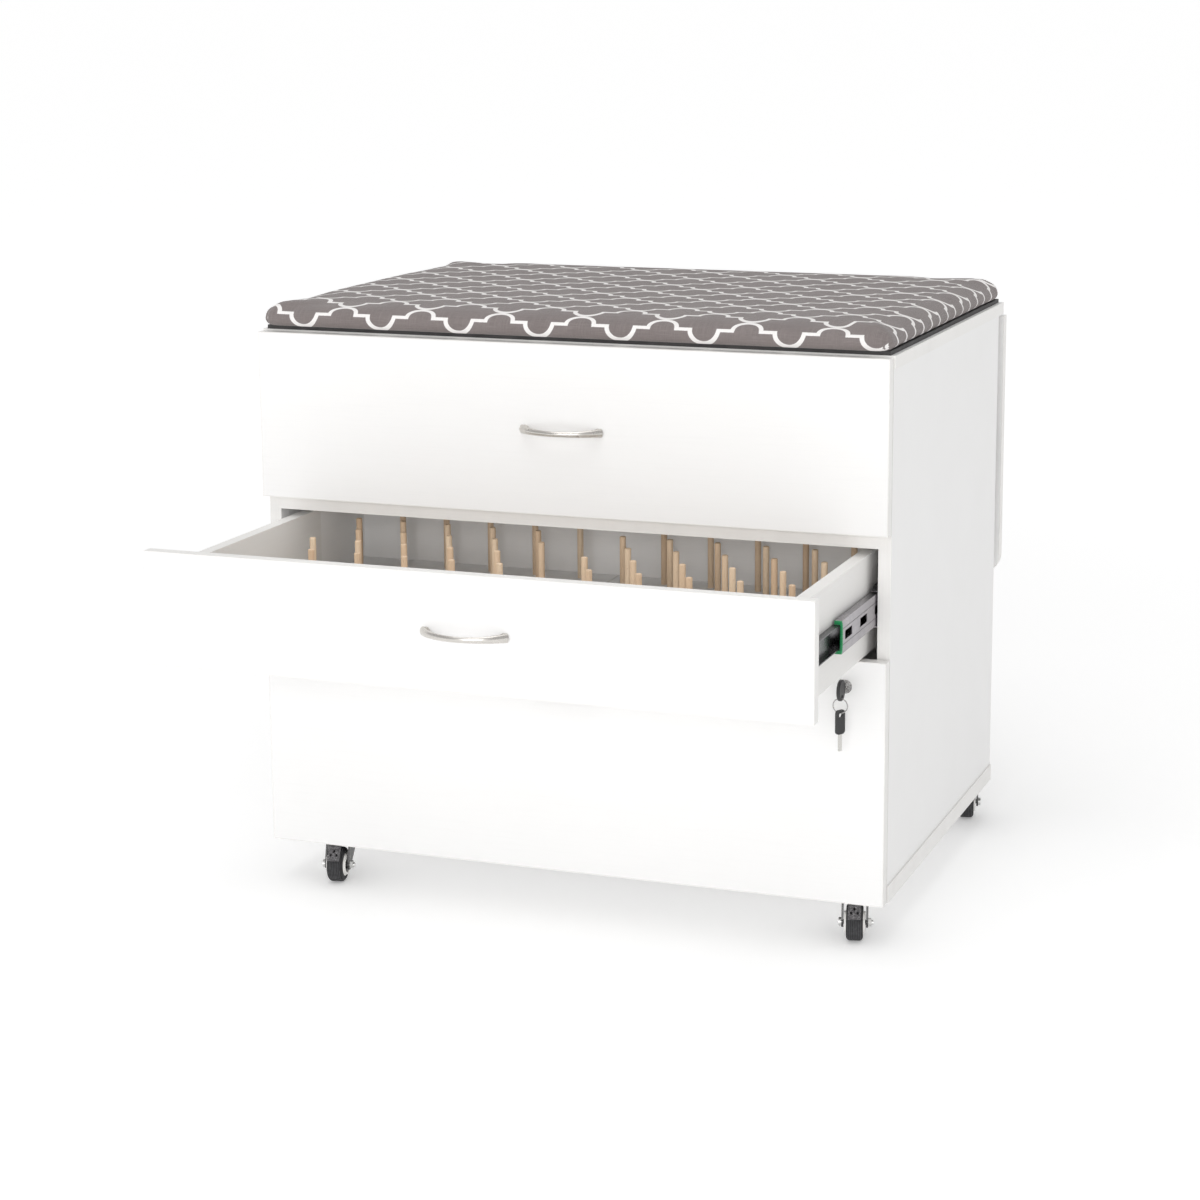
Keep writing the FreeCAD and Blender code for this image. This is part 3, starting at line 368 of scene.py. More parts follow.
# %% Dress the boards
BOARDS = {
    "side_panel_left": ("X", "Z"), "side_panel_right": ("X", "Z"),
    "top_board": ("Z", "X"), "bottom_board": ("Z", "X"), "front_rail": ("Z", "X"),
    "drop_leaf": ("Y", "X"),
}
for drawer in DRAWERS:
    BOARDS[drawer + "_front"] = ("Y", "X")
    BOARDS[drawer + "_back"] = ("Y", "X")
    BOARDS[drawer + "_sides"] = ("X", "Y")

LEAF_CORNER = 28 * MM
INSIDE_PAINTED_LIGHT = 0.85          # painted light: boards inside the thread drawer are painted whiter, for light that doesn't reach in
PEG_BOARD_GAP = 0.5 * MM     # from the middle of the drawer to either peg board
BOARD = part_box("side_panel_left")[1].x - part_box("side_panel_left")[0].x
for node, (thin, grain) in BOARDS.items():
    low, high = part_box(node)
    corner = 0.0
    paired = node.endswith("_sides")
    if paired:
        low.x = high.x - BOARD
    if node == "drop_leaf":
        corner = LEAF_CORNER
        high.z += 2 * LEAF_CORNER
    inside = node in ("thread_drawer_sides", "thread_drawer_back")
    painted_whitening = INSIDE_PAINTED_LIGHT if inside else 0.0
    dress(node, board_finish(node, low, high, thin, grain, corner, paired, painted_whitening))
low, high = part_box("peg_boards")
low.x = PEG_BOARD_GAP
dress("peg_boards", board_finish("peg_boards", low, high, "Z", "X", 0.0, True, INSIDE_PAINTED_LIGHT))
print("boards:", len(BOARDS) + 1, "finishes, board", round(BOARD / MM, 1), "mm thick")

# %% [markdown]
# ## Hardboard
# Drawer bottoms and the back are thin hardboard with a painted face. It is duller than melamine, slightly
# warmer, and the pressed fibres show as a short random fleck. Two clouds of different stretch are enough.

# %% Hardboard finish
def hardboard_finish():
    """Painted hardboard with a fleck of pressed fibres."""
    material, tree, shader = skin("painted_hardboard")
    place = own_place(tree)
    fleck = cloud(tree, place, 900.0, detail=3.0, roughness=0.7)
    streak = cloud(tree, place, (40.0, 160.0, 40.0), detail=3.0)
    haze = cloud(tree, place, 4.0)
    colour = tint(tree, haze, (0.90, 0.893, 0.88, 1), (0.93, 0.925, 0.915, 1))
    colour = tint(tree, scale_to(tree, fleck, 0.58, 0.8, 0.0, 0.22), colour, (0.62, 0.58, 0.52, 1))
    wire(tree, shader, Base_Color=colour, Roughness=scale_to(tree, streak, 0.3, 0.7, 0.5, 0.66))
    emboss(tree, shader, fleck, 0.08 * MM, 0.6)
    return material


hardboard = hardboard_finish()
for node in by_slot["hardboard"]:
    dress(node, hardboard)
print("hardboard:", by_slot["hardboard"])

# %% [markdown]
# ## Turned birch pegs
# Each thread peg is a bare birch dowel. Birch is pale and close, with short darker flecks along the
# grain, and no two dowels come from the same plank, so each takes its own shade. A cloud with very wide
# spots in plan, and none in height, gives every peg one shade of its own. The sawn and eased top drinks
# more light and shows rings.

# %% Birch finish
def birch_finish(top):
    """Bare birch, one shade for each peg, with end grain near the top."""
    material, tree, shader = skin("birch")
    place = own_place(tree)
    plank = cloud(tree, place, (23.0, 23.0, 0.0), detail=0.0)
    grain = cloud(tree, place, (900.0, 900.0, 28.0), detail=4.0, roughness=0.6)
    fleck = cloud(tree, place, (1800.0, 1800.0, 170.0), detail=1.0)
    shade = tint(tree, scale_to(tree, plank, 0.3, 0.7), (0.72, 0.52, 0.35, 1), (0.83, 0.66, 0.48, 1))
    shade = tint(tree, scale_to(tree, grain, 0.45, 0.75, 0.0, 0.5), shade, (0.60, 0.40, 0.24, 1))
    shade = tint(tree, scale_to(tree, fleck, 0.66, 0.74, 0.0, 0.5), shade, (0.42, 0.26, 0.15, 1))
    height = put(tree, "SeparateXYZ", {0: place}).outputs["Z"]
    end_grain = scale_to(tree, height, top - 1.6 * MM, top - 0.2 * MM, 0.0, 0.45)
    shade = tint(tree, end_grain, shade, (0.70, 0.52, 0.36, 1))
    wire(tree, shader, Base_Color=shade, Roughness=scale_to(tree, grain, 0.3, 0.7, 0.50, 0.66))
    emboss(tree, shader, grain, 0.12 * MM, 0.7)
    return material


dress("thread_pegs", birch_finish(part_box("thread_pegs")[1].z))

# %% [markdown]
# ## Metals
# Four metals are here: zinc on the slides and hinges, satin nickel on the pulls, bright chrome on the
# lock, and black paint over steel on the casters. A metal's colour is its reflection, so what tells them
# apart is how rough they are and which way they were worked. Rolled and brushed metal is streaked one
# way, so its noise is stretched far along that way. Zinc also has faint crystals, drawn as small cells.

# %% Metal finishes
GROOVE = 0.7 * MM


def worked_metal(name, colour, dark, rough, along, fine=1400.0, crystals=0.0, streak=0.5, grooves=()):
    """Bare metal streaked along one axis. rough is the lowest and highest roughness."""
    material, tree, shader = skin(name, Metallic=1.0)
    place = own_place(tree)
    stretch = [fine / 90.0 if axis == along else fine for axis in AXES]
    lines = cloud(tree, place, stretch, detail=4.0, roughness=0.65)
    smear = cloud(tree, place, 38.0, detail=4.0, roughness=0.6)
    shade = tint(tree, scale_to(tree, lines, 0.3, 0.75, 0.0, streak), colour, dark)
    shade = tint(tree, scale_to(tree, smear, 0.55, 0.8, 0.0, 0.5), shade, dark)
    if crystals:
        cells = put(tree, "TexVoronoi", {"Vector": place, "Scale": crystals, "Randomness": 1.0})
        facet = put(tree, "SeparateColor", {0: cells.outputs["Color"]}).outputs[0]
        shade = tint(tree, scale_to(tree, facet, 0.0, 1.0, 0.0, 0.28), shade, dark)
    relief = sums(tree, "MULTIPLY", lines, 0.05)
    for level in grooves:
        height = put(tree, "SeparateXYZ", {0: place}).outputs["Z"]
        off_groove = sums(tree, "ABSOLUTE", sums(tree, "SUBTRACT", height, level))
        groove_and_shade = scale_to(tree, off_groove, 0.35 * GROOVE, GROOVE, 1.0, 0.0)
        # painted shade: each groove is coloured near black as well as pressed in
        shade = tint(tree, sums(tree, "MULTIPLY", groove_and_shade, 0.8), shade, (0.05, 0.048, 0.052, 1))
        relief = sums(tree, "SUBTRACT", relief, groove_and_shade)
    wire(tree, shader, Base_Color=shade, Roughness=scale_to(tree, smear, 0.3, 0.75, *rough))
    emboss(tree, shader, relief, 0.4 * MM, 0.6)
    return material


# %% [markdown]
# With one tool for worked metal, each metal takes a few numbers: its bright and dark colour, how rough
# it is, the way it was worked, and the size of its crystals.

# %% Zinc and nickel
slide_zinc = worked_metal(
    "zinc_slide", (0.40, 0.385, 0.405, 1), (0.22, 0.21, 0.23, 1), (0.26, 0.42), "Y", crystals=420.0)
hinge_zinc = worked_metal(
    "zinc_hinge", (0.66, 0.66, 0.65, 1), (0.45, 0.45, 0.44, 1), (0.3, 0.48), "X", crystals=300.0)
nickel = worked_metal(
    "satin_nickel", (0.66, 0.635, 0.60, 1), (0.50, 0.48, 0.455, 1), (0.22, 0.34), "X",
    fine=2600.0, streak=0.35)
for label, metal in (("steel_slide", slide_zinc), ("zinc_hinge", hinge_zinc), ("satin_nickel", nickel)):
    for node in by_slot[label]:
        dress(node, metal)
    print(label, "on", len(by_slot[label]), "nodes")

# %% [markdown]
# The lock's face is turned on a lathe, which leaves fine rings round its middle, and then plated. The
# rings scatter the light, so the face stays bright even with the dark key right in front of it.

# %% Turned chrome
LATHE_PITCH = 1.3 * MM


def turned_chrome(middle):
    """Plated metal with lathe rings round the lock's axis."""
    material, tree, shader = skin("lock_chrome", Metallic=0.8)
    place = own_place(tree)
    flat = steps(tree, "MULTIPLY", steps(tree, "SUBTRACT", place, middle), (1.0, 0.0, 1.0))
    radius = steps(tree, "LENGTH", flat)
    rings = sums(tree, "PINGPONG", radius, LATHE_PITCH / 2)
    ring = scale_to(tree, rings, 0.1 * MM, 0.45 * MM)
    haze = cloud(tree, place, 350.0, detail=4.0, roughness=0.6)
    shade = tint(tree, ring, (0.10, 0.098, 0.095, 1), (0.66, 0.65, 0.64, 1))
    shade = tint(tree, scale_to(tree, haze, 0.55, 0.8, 0.0, 0.4), shade, (0.40, 0.39, 0.37, 1))
    wire(tree, shader, Base_Color=shade, Roughness=scale_to(tree, haze, 0.3, 0.75, 0.22, 0.36))
    emboss(tree, shader, ring, 0.18 * MM, 0.8)
    return material


plug_low, plug_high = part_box("lock_barrel")
chrome = turned_chrome((plug_low + plug_high) / 2)
for node in by_slot["lock_chrome"]:
    dress(node, chrome)
print("lathe rings every", round(LATHE_PITCH / MM, 1), "mm")

# %% [markdown]
# A slide has three members. The middle one has two long grooves where its balls run, painted dark inside as
# painted shade. The drawer's own member sits deep inside the middle one and is painted much darker, as
# painted shade. Both take the same zinc with other values.

# %% Slide members
BALL_TRACK = 9.5 * MM        # grooves above and below the middle of the slide
for drawer in DRAWERS:
    rail_low, rail_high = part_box(drawer + "_middle_rails")
    level = (rail_low.z + rail_high.z) / 2
    dress(drawer + "_middle_rails", worked_metal(
        "zinc_middle_" + drawer, (0.42, 0.40, 0.42, 1), (0.25, 0.24, 0.26, 1), (0.25, 0.4), "Y",
        crystals=420.0, grooves=(level - BALL_TRACK, level + BALL_TRACK)))
# painted shade: the drawer's own member is made near black for the shade it sits in
painted_shade_zinc = worked_metal(
    "painted_shade_zinc", (0.15, 0.15, 0.155, 1), (0.055, 0.055, 0.06, 1), (0.22, 0.36), "Y")
for drawer in DRAWERS:
    dress(drawer + "_inner_rails", painted_shade_zinc)
print("slides: grooves", BALL_TRACK / MM, "mm from the middle")

# %% [markdown]
# Black paint on the caster forks is glossy but not flat: it has the slight orange peel of a dipped
# part. Dust sits on it in soft patches, and the paint is thin enough at rubbed spots to look grey. Forks
# and wheels both need to know how far a point is from their axle, which the wheel's own joint gives.

# %% Measures from an axle
def axle_measures(tree, joint):
    """Distance along the axle, and distance from it, for the wheel that turns on this joint."""
    axis = Vector(joint["axis"]).normalized()
    offset = steps(tree, "SUBTRACT", own_place(tree), joint["pos_m"])
    across = steps(tree, "DOT_PRODUCT", offset, axis)
    reach = sums(tree, "POWER", steps(tree, "LENGTH", offset), 2.0)
    square = sums(tree, "SUBTRACT", reach, sums(tree, "POWER", across, 2.0))
    return across, sums(tree, "SQRT", sums(tree, "MAXIMUM", square, 0.0))


# %% [markdown]
# The fork and its bolt are one node, so the finish has to tell them apart. Everything near the axle and
# further out than the fork's cheeks is bolt or nut, and takes a bright plating in place of the paint.

# %% Black steel finish
def black_steel_finish(name, joint=None):
    """Dipped black paint. With a joint, the bolt on that axle is bright."""
    material, tree, shader = skin(name, Coat_Weight=0.3, Coat_Roughness=0.12)
    place = own_place(tree)
    peel = cloud(tree, place, 700.0, detail=1.0)
    dust = cloud(tree, place, 60.0, detail=5.0, roughness=0.65)
    rub = cloud(tree, place, 260.0, detail=3.0)
    dusty = scale_to(tree, dust, 0.5, 0.8, 0.0, 0.6)
    shade = tint(tree, dusty, (0.010, 0.010, 0.011, 1), (0.060, 0.059, 0.058, 1))
    shade = tint(tree, scale_to(tree, rub, 0.68, 0.8, 0.0, 0.5), shade, (0.16, 0.16, 0.16, 1))
    if joint:
        across, round_axle = axle_measures(tree, joint)
        beyond = sums(tree, "GREATER_THAN", sums(tree, "ABSOLUTE", across), BOLT_FROM)
        bolt = sums(tree, "MULTIPLY", beyond, sums(tree, "LESS_THAN", round_axle, BOLT_RADIUS))
        plated = tint(tree, dust, (0.62, 0.62, 0.61, 1), (0.80, 0.80, 0.79, 1))
        shade = tint(tree, bolt, shade, plated)
        wire(tree, shader, Metallic=bolt)
    wire(tree, shader, Base_Color=shade, Roughness=scale_to(tree, dust, 0.35, 0.75, 0.26, 0.5))
    emboss(tree, shader, peel, 0.06 * MM, 0.5)
    return material


# %% [markdown]
# Hammered paint dries in small cells. Each is bright in the middle and darker at its rim, so the distance
# to the nearest cell's middle gives both the colour and the relief.

# %% Hammered finish
def hammered_finish():
    """Grey hammered paint on the brake tabs: small bright dimples with darker rims."""
    material, tree, shader = skin("hammered_grey", Specular_IOR_Level=0.6)
    place = own_place(tree)
    cells = put(tree, "TexVoronoi", {"Vector": place, "Scale": 900.0}).outputs["Distance"]
    rub = cloud(tree, place, 500.0, detail=3.0, roughness=0.6)
    shade = tint(tree, scale_to(tree, cells, 0.15, 0.6), (0.21, 0.20, 0.21, 1), (0.06, 0.058, 0.062, 1))
    shade = tint(tree, scale_to(tree, rub, 0.56, 0.7, 0.0, 0.8), shade, (0.38, 0.37, 0.38, 1))
    wire(tree, shader, Base_Color=shade, Roughness=scale_to(tree, rub, 0.3, 0.7, 0.3, 0.5))
    emboss(tree, shader, cells, 0.3 * MM, 0.7)
    return material


# %% [markdown]
# Each fork takes its own black steel, because its bolt lies on its own wheel's axle. The brake tabs are
# hammered grey, and the plates are plain black.

# %% Dress the casters' steel
BOLT_FROM = 16.55 * MM       # outer face of the fork's cheeks, from the middle of the wheel
BOLT_RADIUS = 5.8 * MM
CORNERS = ("front_left", "front_right", "back_left", "back_right")
joints = {joint["name"]: joint for joint in frame["joints"]}
plain_black = black_steel_finish("black_steel")
hammered = hammered_finish()
for node in by_slot["black_steel"]:
    dress(node, hammered if node.startswith("brake_pedal") else plain_black)
for corner in CORNERS:
    fork_finish = black_steel_finish("black_steel_" + corner, joints["wheel_" + corner + "_spin"])
    dress("caster_fork_" + corner, fork_finish)
print("casters:", len(CORNERS), "forks, bolts", round(2 * BOLT_RADIUS / MM, 1), "mm across")

# %% [markdown]
# ## Caster wheels
# A wheel has a dark rubber tread and a pale rim ring around a dished centre. Treads are ribbed around
# the wheel, so the ribs need the distance along the axle, and the rings need the distance from it. Both
# come from the wheel's own joint, so the finish follows each wheel however its fork is turned.

# %% Tyre finish
TREAD_RIB = 1.1 * MM


def tyre_finish(corner, joint, outer):
    """Dusty black rubber with ribs round the tread."""
    material, tree, shader = skin("tyre_" + corner, Specular_IOR_Level=0.35)
    across, round_axle = axle_measures(tree, joint)
    ribs = sums(tree, "PINGPONG", across, TREAD_RIB)
    on_tread = scale_to(tree, round_axle, outer - 1.6 * MM, outer - 0.6 * MM)
    dust = cloud(tree, own_place(tree), 240.0, detail=5.0, roughness=0.7)
    shade = tint(tree, scale_to(tree, dust, 0.4, 0.8), (0.013, 0.013, 0.015, 1), (0.055, 0.055, 0.058, 1))
    worn = sums(tree, "MULTIPLY", scale_to(tree, ribs, 0.3 * TREAD_RIB, TREAD_RIB), on_tread)
    shade = tint(tree, sums(tree, "MULTIPLY", worn, 0.5), shade, (0.120, 0.119, 0.124, 1))
    wire(tree, shader, Base_Color=shade, Roughness=scale_to(tree, dust, 0.3, 0.8, 0.55, 0.8))
    relief = sums(tree, "ADD", worn, sums(tree, "MULTIPLY", dust, 0.35))
    emboss(tree, shader, relief, 0.35 * MM, 0.9)
    return material


# %% [markdown]
# Seen from the side, the hub is a pale ring with a dark dish in it. One distance from the axle parts them.

# %% Hub finish
HUB_DISH = 10.4 * MM


def hub_finish(corner, joint):
    """Pale rim ring and a dark dish inside it."""
    material, tree, shader = skin("hub_" + corner)
    _, round_axle = axle_measures(tree, joint)
    haze = cloud(tree, own_place(tree), 300.0, detail=4.0, roughness=0.6)
    rim = sums(tree, "GREATER_THAN", round_axle, HUB_DISH)
    pale = tint(tree, haze, (0.86, 0.845, 0.82, 1), (0.93, 0.925, 0.91, 1))
    dark = tint(tree, haze, (0.020, 0.020, 0.021, 1), (0.07, 0.07, 0.072, 1))
    colour = tint(tree, rim, dark, pale)
    wire(tree, shader, Base_Color=colour, Roughness=scale_to(tree, haze, 0.3, 0.7, 0.28, 0.45))
    emboss(tree, shader, haze, 0.05 * MM, 0.5)
    return material


for corner in CORNERS:
    spin = joints["wheel_" + corner + "_spin"]
    tyre_low, tyre_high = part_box("caster_tyre_" + corner)
    dress("caster_tyre_" + corner, tyre_finish(corner, spin, (tyre_high.z - tyre_low.z) / 2))
    dress("caster_hub_" + corner, hub_finish(corner, spin))
    print("wheel", corner, "is", round((tyre_high.z - tyre_low.z) / MM, 1), "mm across")

# %% [markdown]
# ## Moulded plastics and keys
# The slide's end clip is green nylon, and the key heads are black. Moulded plastic has a fine spark
# texture from its die and a soft sheen.

# %% Plastic finish
def moulded(name, colour, pale, rough, **values):
    """Moulded plastic with a spark-eroded skin."""
    material, tree, shader = skin(name, **values)
    place = own_place(tree)
    spark = cloud(tree, place, 2600.0, detail=2.0)
    handled = cloud(tree, place, 120.0, detail=4.0, roughness=0.6)
    shade = tint(tree, scale_to(tree, handled, 0.45, 0.8, 0.0, 0.6), colour, pale)
    wire(tree, shader, Base_Color=shade, Roughness=scale_to(tree, handled, 0.3, 0.7, *rough))
    emboss(tree, shader, spark, 0.05 * MM, 0.6)
    return material


# %% [markdown]
# A key is one node of the frame, with its head and blade in one piece, so its finish changes from plastic
# to nickelled steel where the blade comes out of the head.

# %% Key finish
def key_finish(name, axis, edge, sign):
    """Black head and bright blade. The blade lies past the edge, in the direction of sign."""
    material, tree, shader = skin(name)
    place = own_place(tree)
    where = put(tree, "SeparateXYZ", {0: place}).outputs[axis]
    blade = sums(tree, "GREATER_THAN", sums(tree, "MULTIPLY", where, sign), edge * sign)
    spark = cloud(tree, place, 2600.0, detail=2.0)
    scratch = cloud(tree, place, (1500.0, 1500.0, 60.0), detail=3.0)
    head = tint(tree, spark, (0.012, 0.012, 0.013, 1), (0.045, 0.045, 0.046, 1))
    steel = tint(tree, scratch, (0.50, 0.49, 0.47, 1), (0.74, 0.73, 0.70, 1))
    rough = tint(tree, blade, (0.46, 0.46, 0.46, 1), (0.27, 0.27, 0.27, 1))
    wire(tree, shader, Base_Color=tint(tree, blade, head, steel), Metallic=blade, Roughness=rough)
    emboss(tree, shader, sums(tree, "ADD", spark, scratch), 0.04 * MM, 0.6)
    return material


# %% [markdown]
# The key in the lock points straight back, and the spare key hangs down, so each finish is told which
# way its blade lies and where its head ends.

# %% Dress the clip and the keys
green = moulded(
    "green_nylon", (0.010, 0.26, 0.085, 1), (0.06, 0.40, 0.18, 1), (0.32, 0.5),
    Subsurface_Weight=0.08, Subsurface_Radius=(0.002, 0.004, 0.002))
black_plastic = moulded(
    "black_plastic", (0.010, 0.010, 0.011, 1), (0.05, 0.05, 0.052, 1), (0.4, 0.6))
for node in by_slot["green_plastic"]:
    dress(node, green)
key_low, key_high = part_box("key")
spare_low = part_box("spare_key")[0]
KEY_HEAD_ACROSS = 26 * MM
SPARE_BLADE = 21 * MM
dress("key", key_finish("key", "Y", key_low.y + KEY_HEAD_ACROSS, 1.0))
dress("spare_key", key_finish("spare_key", "Z", spare_low.z + SPARE_BLADE, -1.0))
print("key is", round((key_high.y - key_low.y) / MM, 1), "mm from head to tip")

# %% [markdown]
# The thin board under the pad is made near black, with a fine leather print. It shows only as a dark line
# between the pad and the white top.

# %% Dark pad board
def pad_board_finish():
    """Near black board with a leather print."""
    material, tree, shader = skin("pad_board_laminate")
    place = own_place(tree)
    cells = put(tree, "TexVoronoi", {"Vector": place, "Scale": 620.0}, feature="DISTANCE_TO_EDGE")
    crease = scale_to(tree, cells.outputs["Distance"], 0.0, 0.12)
    dust = cloud(tree, place, 30.0, detail=5.0)
    shade = tint(tree, scale_to(tree, dust, 0.45, 0.8), (0.035, 0.033, 0.034, 1), (0.085, 0.082, 0.082, 1))
    wire(tree, shader, Base_Color=shade, Roughness=scale_to(tree, dust, 0.3, 0.7, 0.5, 0.68))
    emboss(tree, shader, crease, 0.1 * MM, 0.6)
    return material


dress("pad_board", pad_board_finish())
board_low, board_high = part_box("pad_board")
print("pad board:", round((board_high.z - board_low.z) / MM, 1), "mm thick")

# %% [markdown]
# ## The pressing pad
# The pad is a slab of foam in a tight canvas cover, wrapped round the edges. Real foam under tight cloth
# stands a little higher in the middle than at the edges, its edges are soft, and its sides bulge slightly.
# The shape is made the way the real one is: a slab a little too small is blown up by cloth pressure until
# the cloth is tight, with its bottom held still on the board. Cloth has no feel for a foam core, so how
# far a point may travel is capped.

# %% Pad sizes
PAD_CROWN = 4.0 * MM
PAD_SHY = 1.2 * MM           # the slab starts this much inside its space, and swells
PAD_CORNER = 25 * MM
PAD_EDGE = 20 * MM
PAD_LOWER_EDGE = 6 * MM
VOXEL = 7 * MM
SWELL_LIMIT = 5.0 * MM
PRESSURE = 4.0
FRAMES = 20
pad_low, pad_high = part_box("pad")
print("pad space:", [round(side / MM) for side in pad_high - pad_low], "mm")

# %% [markdown]
# The slab starts as a block. Its four upright edges are rounded first, and then its upper and lower rims,
# because a bevel that meets round corners follows them and leaves no star of thin faces.

# %% Bevelled slab
def bevelled_slab(low, high, corner, upper_edge, lower_edge):
    """A closed slab with round upright corners, a soft upper rim and a tighter lower one."""
    made = bmesh.new()
    bmesh.ops.create_cube(made, size=1.0)
    size = high - low
    middle = (high + low) / 2
    stretch = Matrix.Translation(middle) @ Matrix.Diagonal((*size, 1.0))
    bmesh.ops.transform(made, matrix=stretch, verts=made.verts)
    upright = [e for e in made.edges if abs(e.verts[0].co.z - e.verts[1].co.z) > size.z / 2]
    bmesh.ops.bevel(made, geom=upright, offset=corner, segments=10, profile=0.5, affect="EDGES")
    made.normal_update()
    for level, edge in ((high.z, upper_edge), (low.z, lower_edge)):
        rim = []
        for e in made.edges:
            turns = abs(e.link_faces[0].normal.z - e.link_faces[1].normal.z) > 0.5
            if turns and all(abs(v.co.z - level) < 1e-5 for v in e.verts):
                rim.append(e)
        bmesh.ops.bevel(made, geom=rim, offset=edge, segments=6, profile=0.5, affect="EDGES")
        made.normal_update()
    mesh = bpy.data.meshes.new("pad")
    made.to_mesh(mesh)
    made.free()
    return mesh


# %% [markdown]
# Cloth needs faces of even size all over, and a bevelled block has a few huge ones. The voxel remesh
# rebuilds the slab from small squares. Its result is written into the mesh before the next step.

# %% Remesh the slab
def apply_modifiers(thing):
    """Turn what the modifiers show into the mesh itself."""
    scene_state = bpy.context.evaluated_depsgraph_get()
    shown = bpy.data.meshes.new_from_object(thing.evaluated_get(scene_state))
    thing.modifiers.clear()
    thing.data = shown
    return thing


shy = Vector((PAD_SHY, PAD_SHY, 0))
slab_top = Vector((0, 0, PAD_CROWN))
slab = bevelled_slab(pad_low + shy, pad_high - shy - slab_top, PAD_CORNER, PAD_EDGE, PAD_LOWER_EDGE)
pad = join_scene(bpy.data.objects.new("pressing_pad", slab))
remesh = pad.modifiers.new("remesh", "REMESH")
remesh.mode = "VOXEL"
remesh.voxel_size = VOXEL
apply_modifiers(pad)
print("pad slab:", len(pad.data.vertices), "points")

# %% [markdown]
# Now the slab is blown up. The points that lie on the board are held, gravity is off, and the pressure
# acts for a set number of frames. What comes out is how far each point would like to go.

# %% Cloth pressure
def points_of(mesh):
    """A mesh's points as an array."""
    places = np.empty(len(mesh.vertices) * 3, np.float32)
    mesh.vertices.foreach_get("co", places)
    return places.reshape(-1, 3).astype(float)


def set_points(mesh, places):
    """Give a mesh new places for its points."""
    mesh.vertices.foreach_set("co", places.astype(np.float32).ravel())
    mesh.update()


def swell(thing, held):
    """Blow the slab up with cloth pressure and return how far each point wants to go."""
    before = points_of(thing.data)
    group = thing.vertex_groups.new(name="held")
    group.add([int(number) for number in np.nonzero(held)[0]], 1.0, "REPLACE")
    cloth = thing.modifiers.new("cloth", "CLOTH")
    cloth.settings.use_pressure = True
    cloth.settings.uniform_pressure_force = PRESSURE
    cloth.settings.vertex_group_mass = "held"
    cloth.settings.quality = 4
    cloth.settings.tension_stiffness = 30.0
    cloth.settings.compression_stiffness = 30.0
    cloth.settings.bending_stiffness = 4.0
    cloth.settings.effector_weights.gravity = 0.0
    cloth.collision_settings.use_collision = False
    for number in range(1, FRAMES + 1):
        scene.frame_set(number)
    apply_modifiers(thing)
    scene.frame_set(1)
    thing.vertex_groups.clear()
    return points_of(thing.data) - before, before


# %% [markdown]


# %% [markdown]
# The wish of each point is cut to the cap and added to where the point was. Points on the board stay
# level with it, so the pad lies flat.

# %% Swell the pad
HELD_BELOW = 1.5 * MM        # points this close to the board don't move
rest_places = points_of(pad.data)
on_board = rest_places[:, 2] < pad_low.z + HELD_BELOW
wish, rest_places = swell(pad, on_board)
length = np.linalg.norm(wish, axis=1, keepdims=True)
capped = wish * np.minimum(1.0, SWELL_LIMIT / np.maximum(length, 1e-9))
places = rest_places + capped
places[:, 2] = np.maximum(places[:, 2], pad_low.z)
places[on_board, 2] = pad_low.z
set_points(pad.data, places)
print("pad swelled by up to", round(float(length.max()) / MM, 1), "mm, capped at", SWELL_LIMIT / MM)

# %% [markdown]
# The remesh leaves small steps, so the mesh is smoothed and given one finer level. Smoothing also shrinks
# it a little, so it is stretched back until it reaches the rim of its board.

# %% Smooth and stretch the pad
smooth = pad.modifiers.new("smooth", "SMOOTH")
smooth.factor = 0.5
smooth.iterations = 3
finer = pad.modifiers.new("finer", "SUBSURF")
finer.levels = finer.render_levels = 1
apply_modifiers(pad)
places = points_of(pad.data)
pad_middle = np.array((pad_low + pad_high) / 2)
pad_half = np.array((pad_high - pad_low) / 2)
for axis in (0, 1):
    reach_now = np.abs(places[:, axis] - pad_middle[axis]).max()
    growth = pad_half[axis] / reach_now
    places[:, axis] = pad_middle[axis] + (places[:, axis] - pad_middle[axis]) * growth
print("pad surface:", len(pad.data.polygons), "faces")

# %% [markdown]
# Cloth that is pulled round a foam edge and stapled underneath isn't perfectly smooth: low on the sides
# it ripples slightly between staples. Two waves of different length keep the ripples from repeating.

# %% Ripples
STAPLE_PITCH = 38 * MM
RIPPLE = 0.35 * MM
depth = pad_high.z - pad_low.z
low_share = np.clip(1.0 - (places[:, 2] - pad_low.z) / (0.75 * depth), 0, 1)
side_x = np.clip((np.abs(places[:, 0] - pad_middle[0]) - pad_half[0] + PAD_EDGE) / PAD_EDGE, 0, 1)
side_y = np.clip((np.abs(places[:, 1] - pad_middle[1]) - pad_half[1] + PAD_EDGE) / PAD_EDGE, 0, 1)
wave_x = np.sin(places[:, 1] * 2 * math.pi / STAPLE_PITCH) + 0.5 * np.sin(places[:, 1] * 71.0 + 1.0)
wave_y = np.sin(places[:, 0] * 2 * math.pi / STAPLE_PITCH) + 0.5 * np.sin(places[:, 0] * 63.0 + 2.0)
places[:, 0] -= np.sign(places[:, 0] - pad_middle[0]) * (1 + wave_x) * RIPPLE * low_share * side_x
places[:, 1] -= np.sign(places[:, 1] - pad_middle[1]) * (1 + wave_y) * RIPPLE * low_share * side_y
print("ripples:", RIPPLE / MM, "mm deep, every", STAPLE_PITCH / MM, "mm")

# %% [markdown]
# At each corner the spare cloth is folded into one crease. It runs down the middle of the round corner,
# so points near that line are pulled straight in, and the pull fades towards the top.

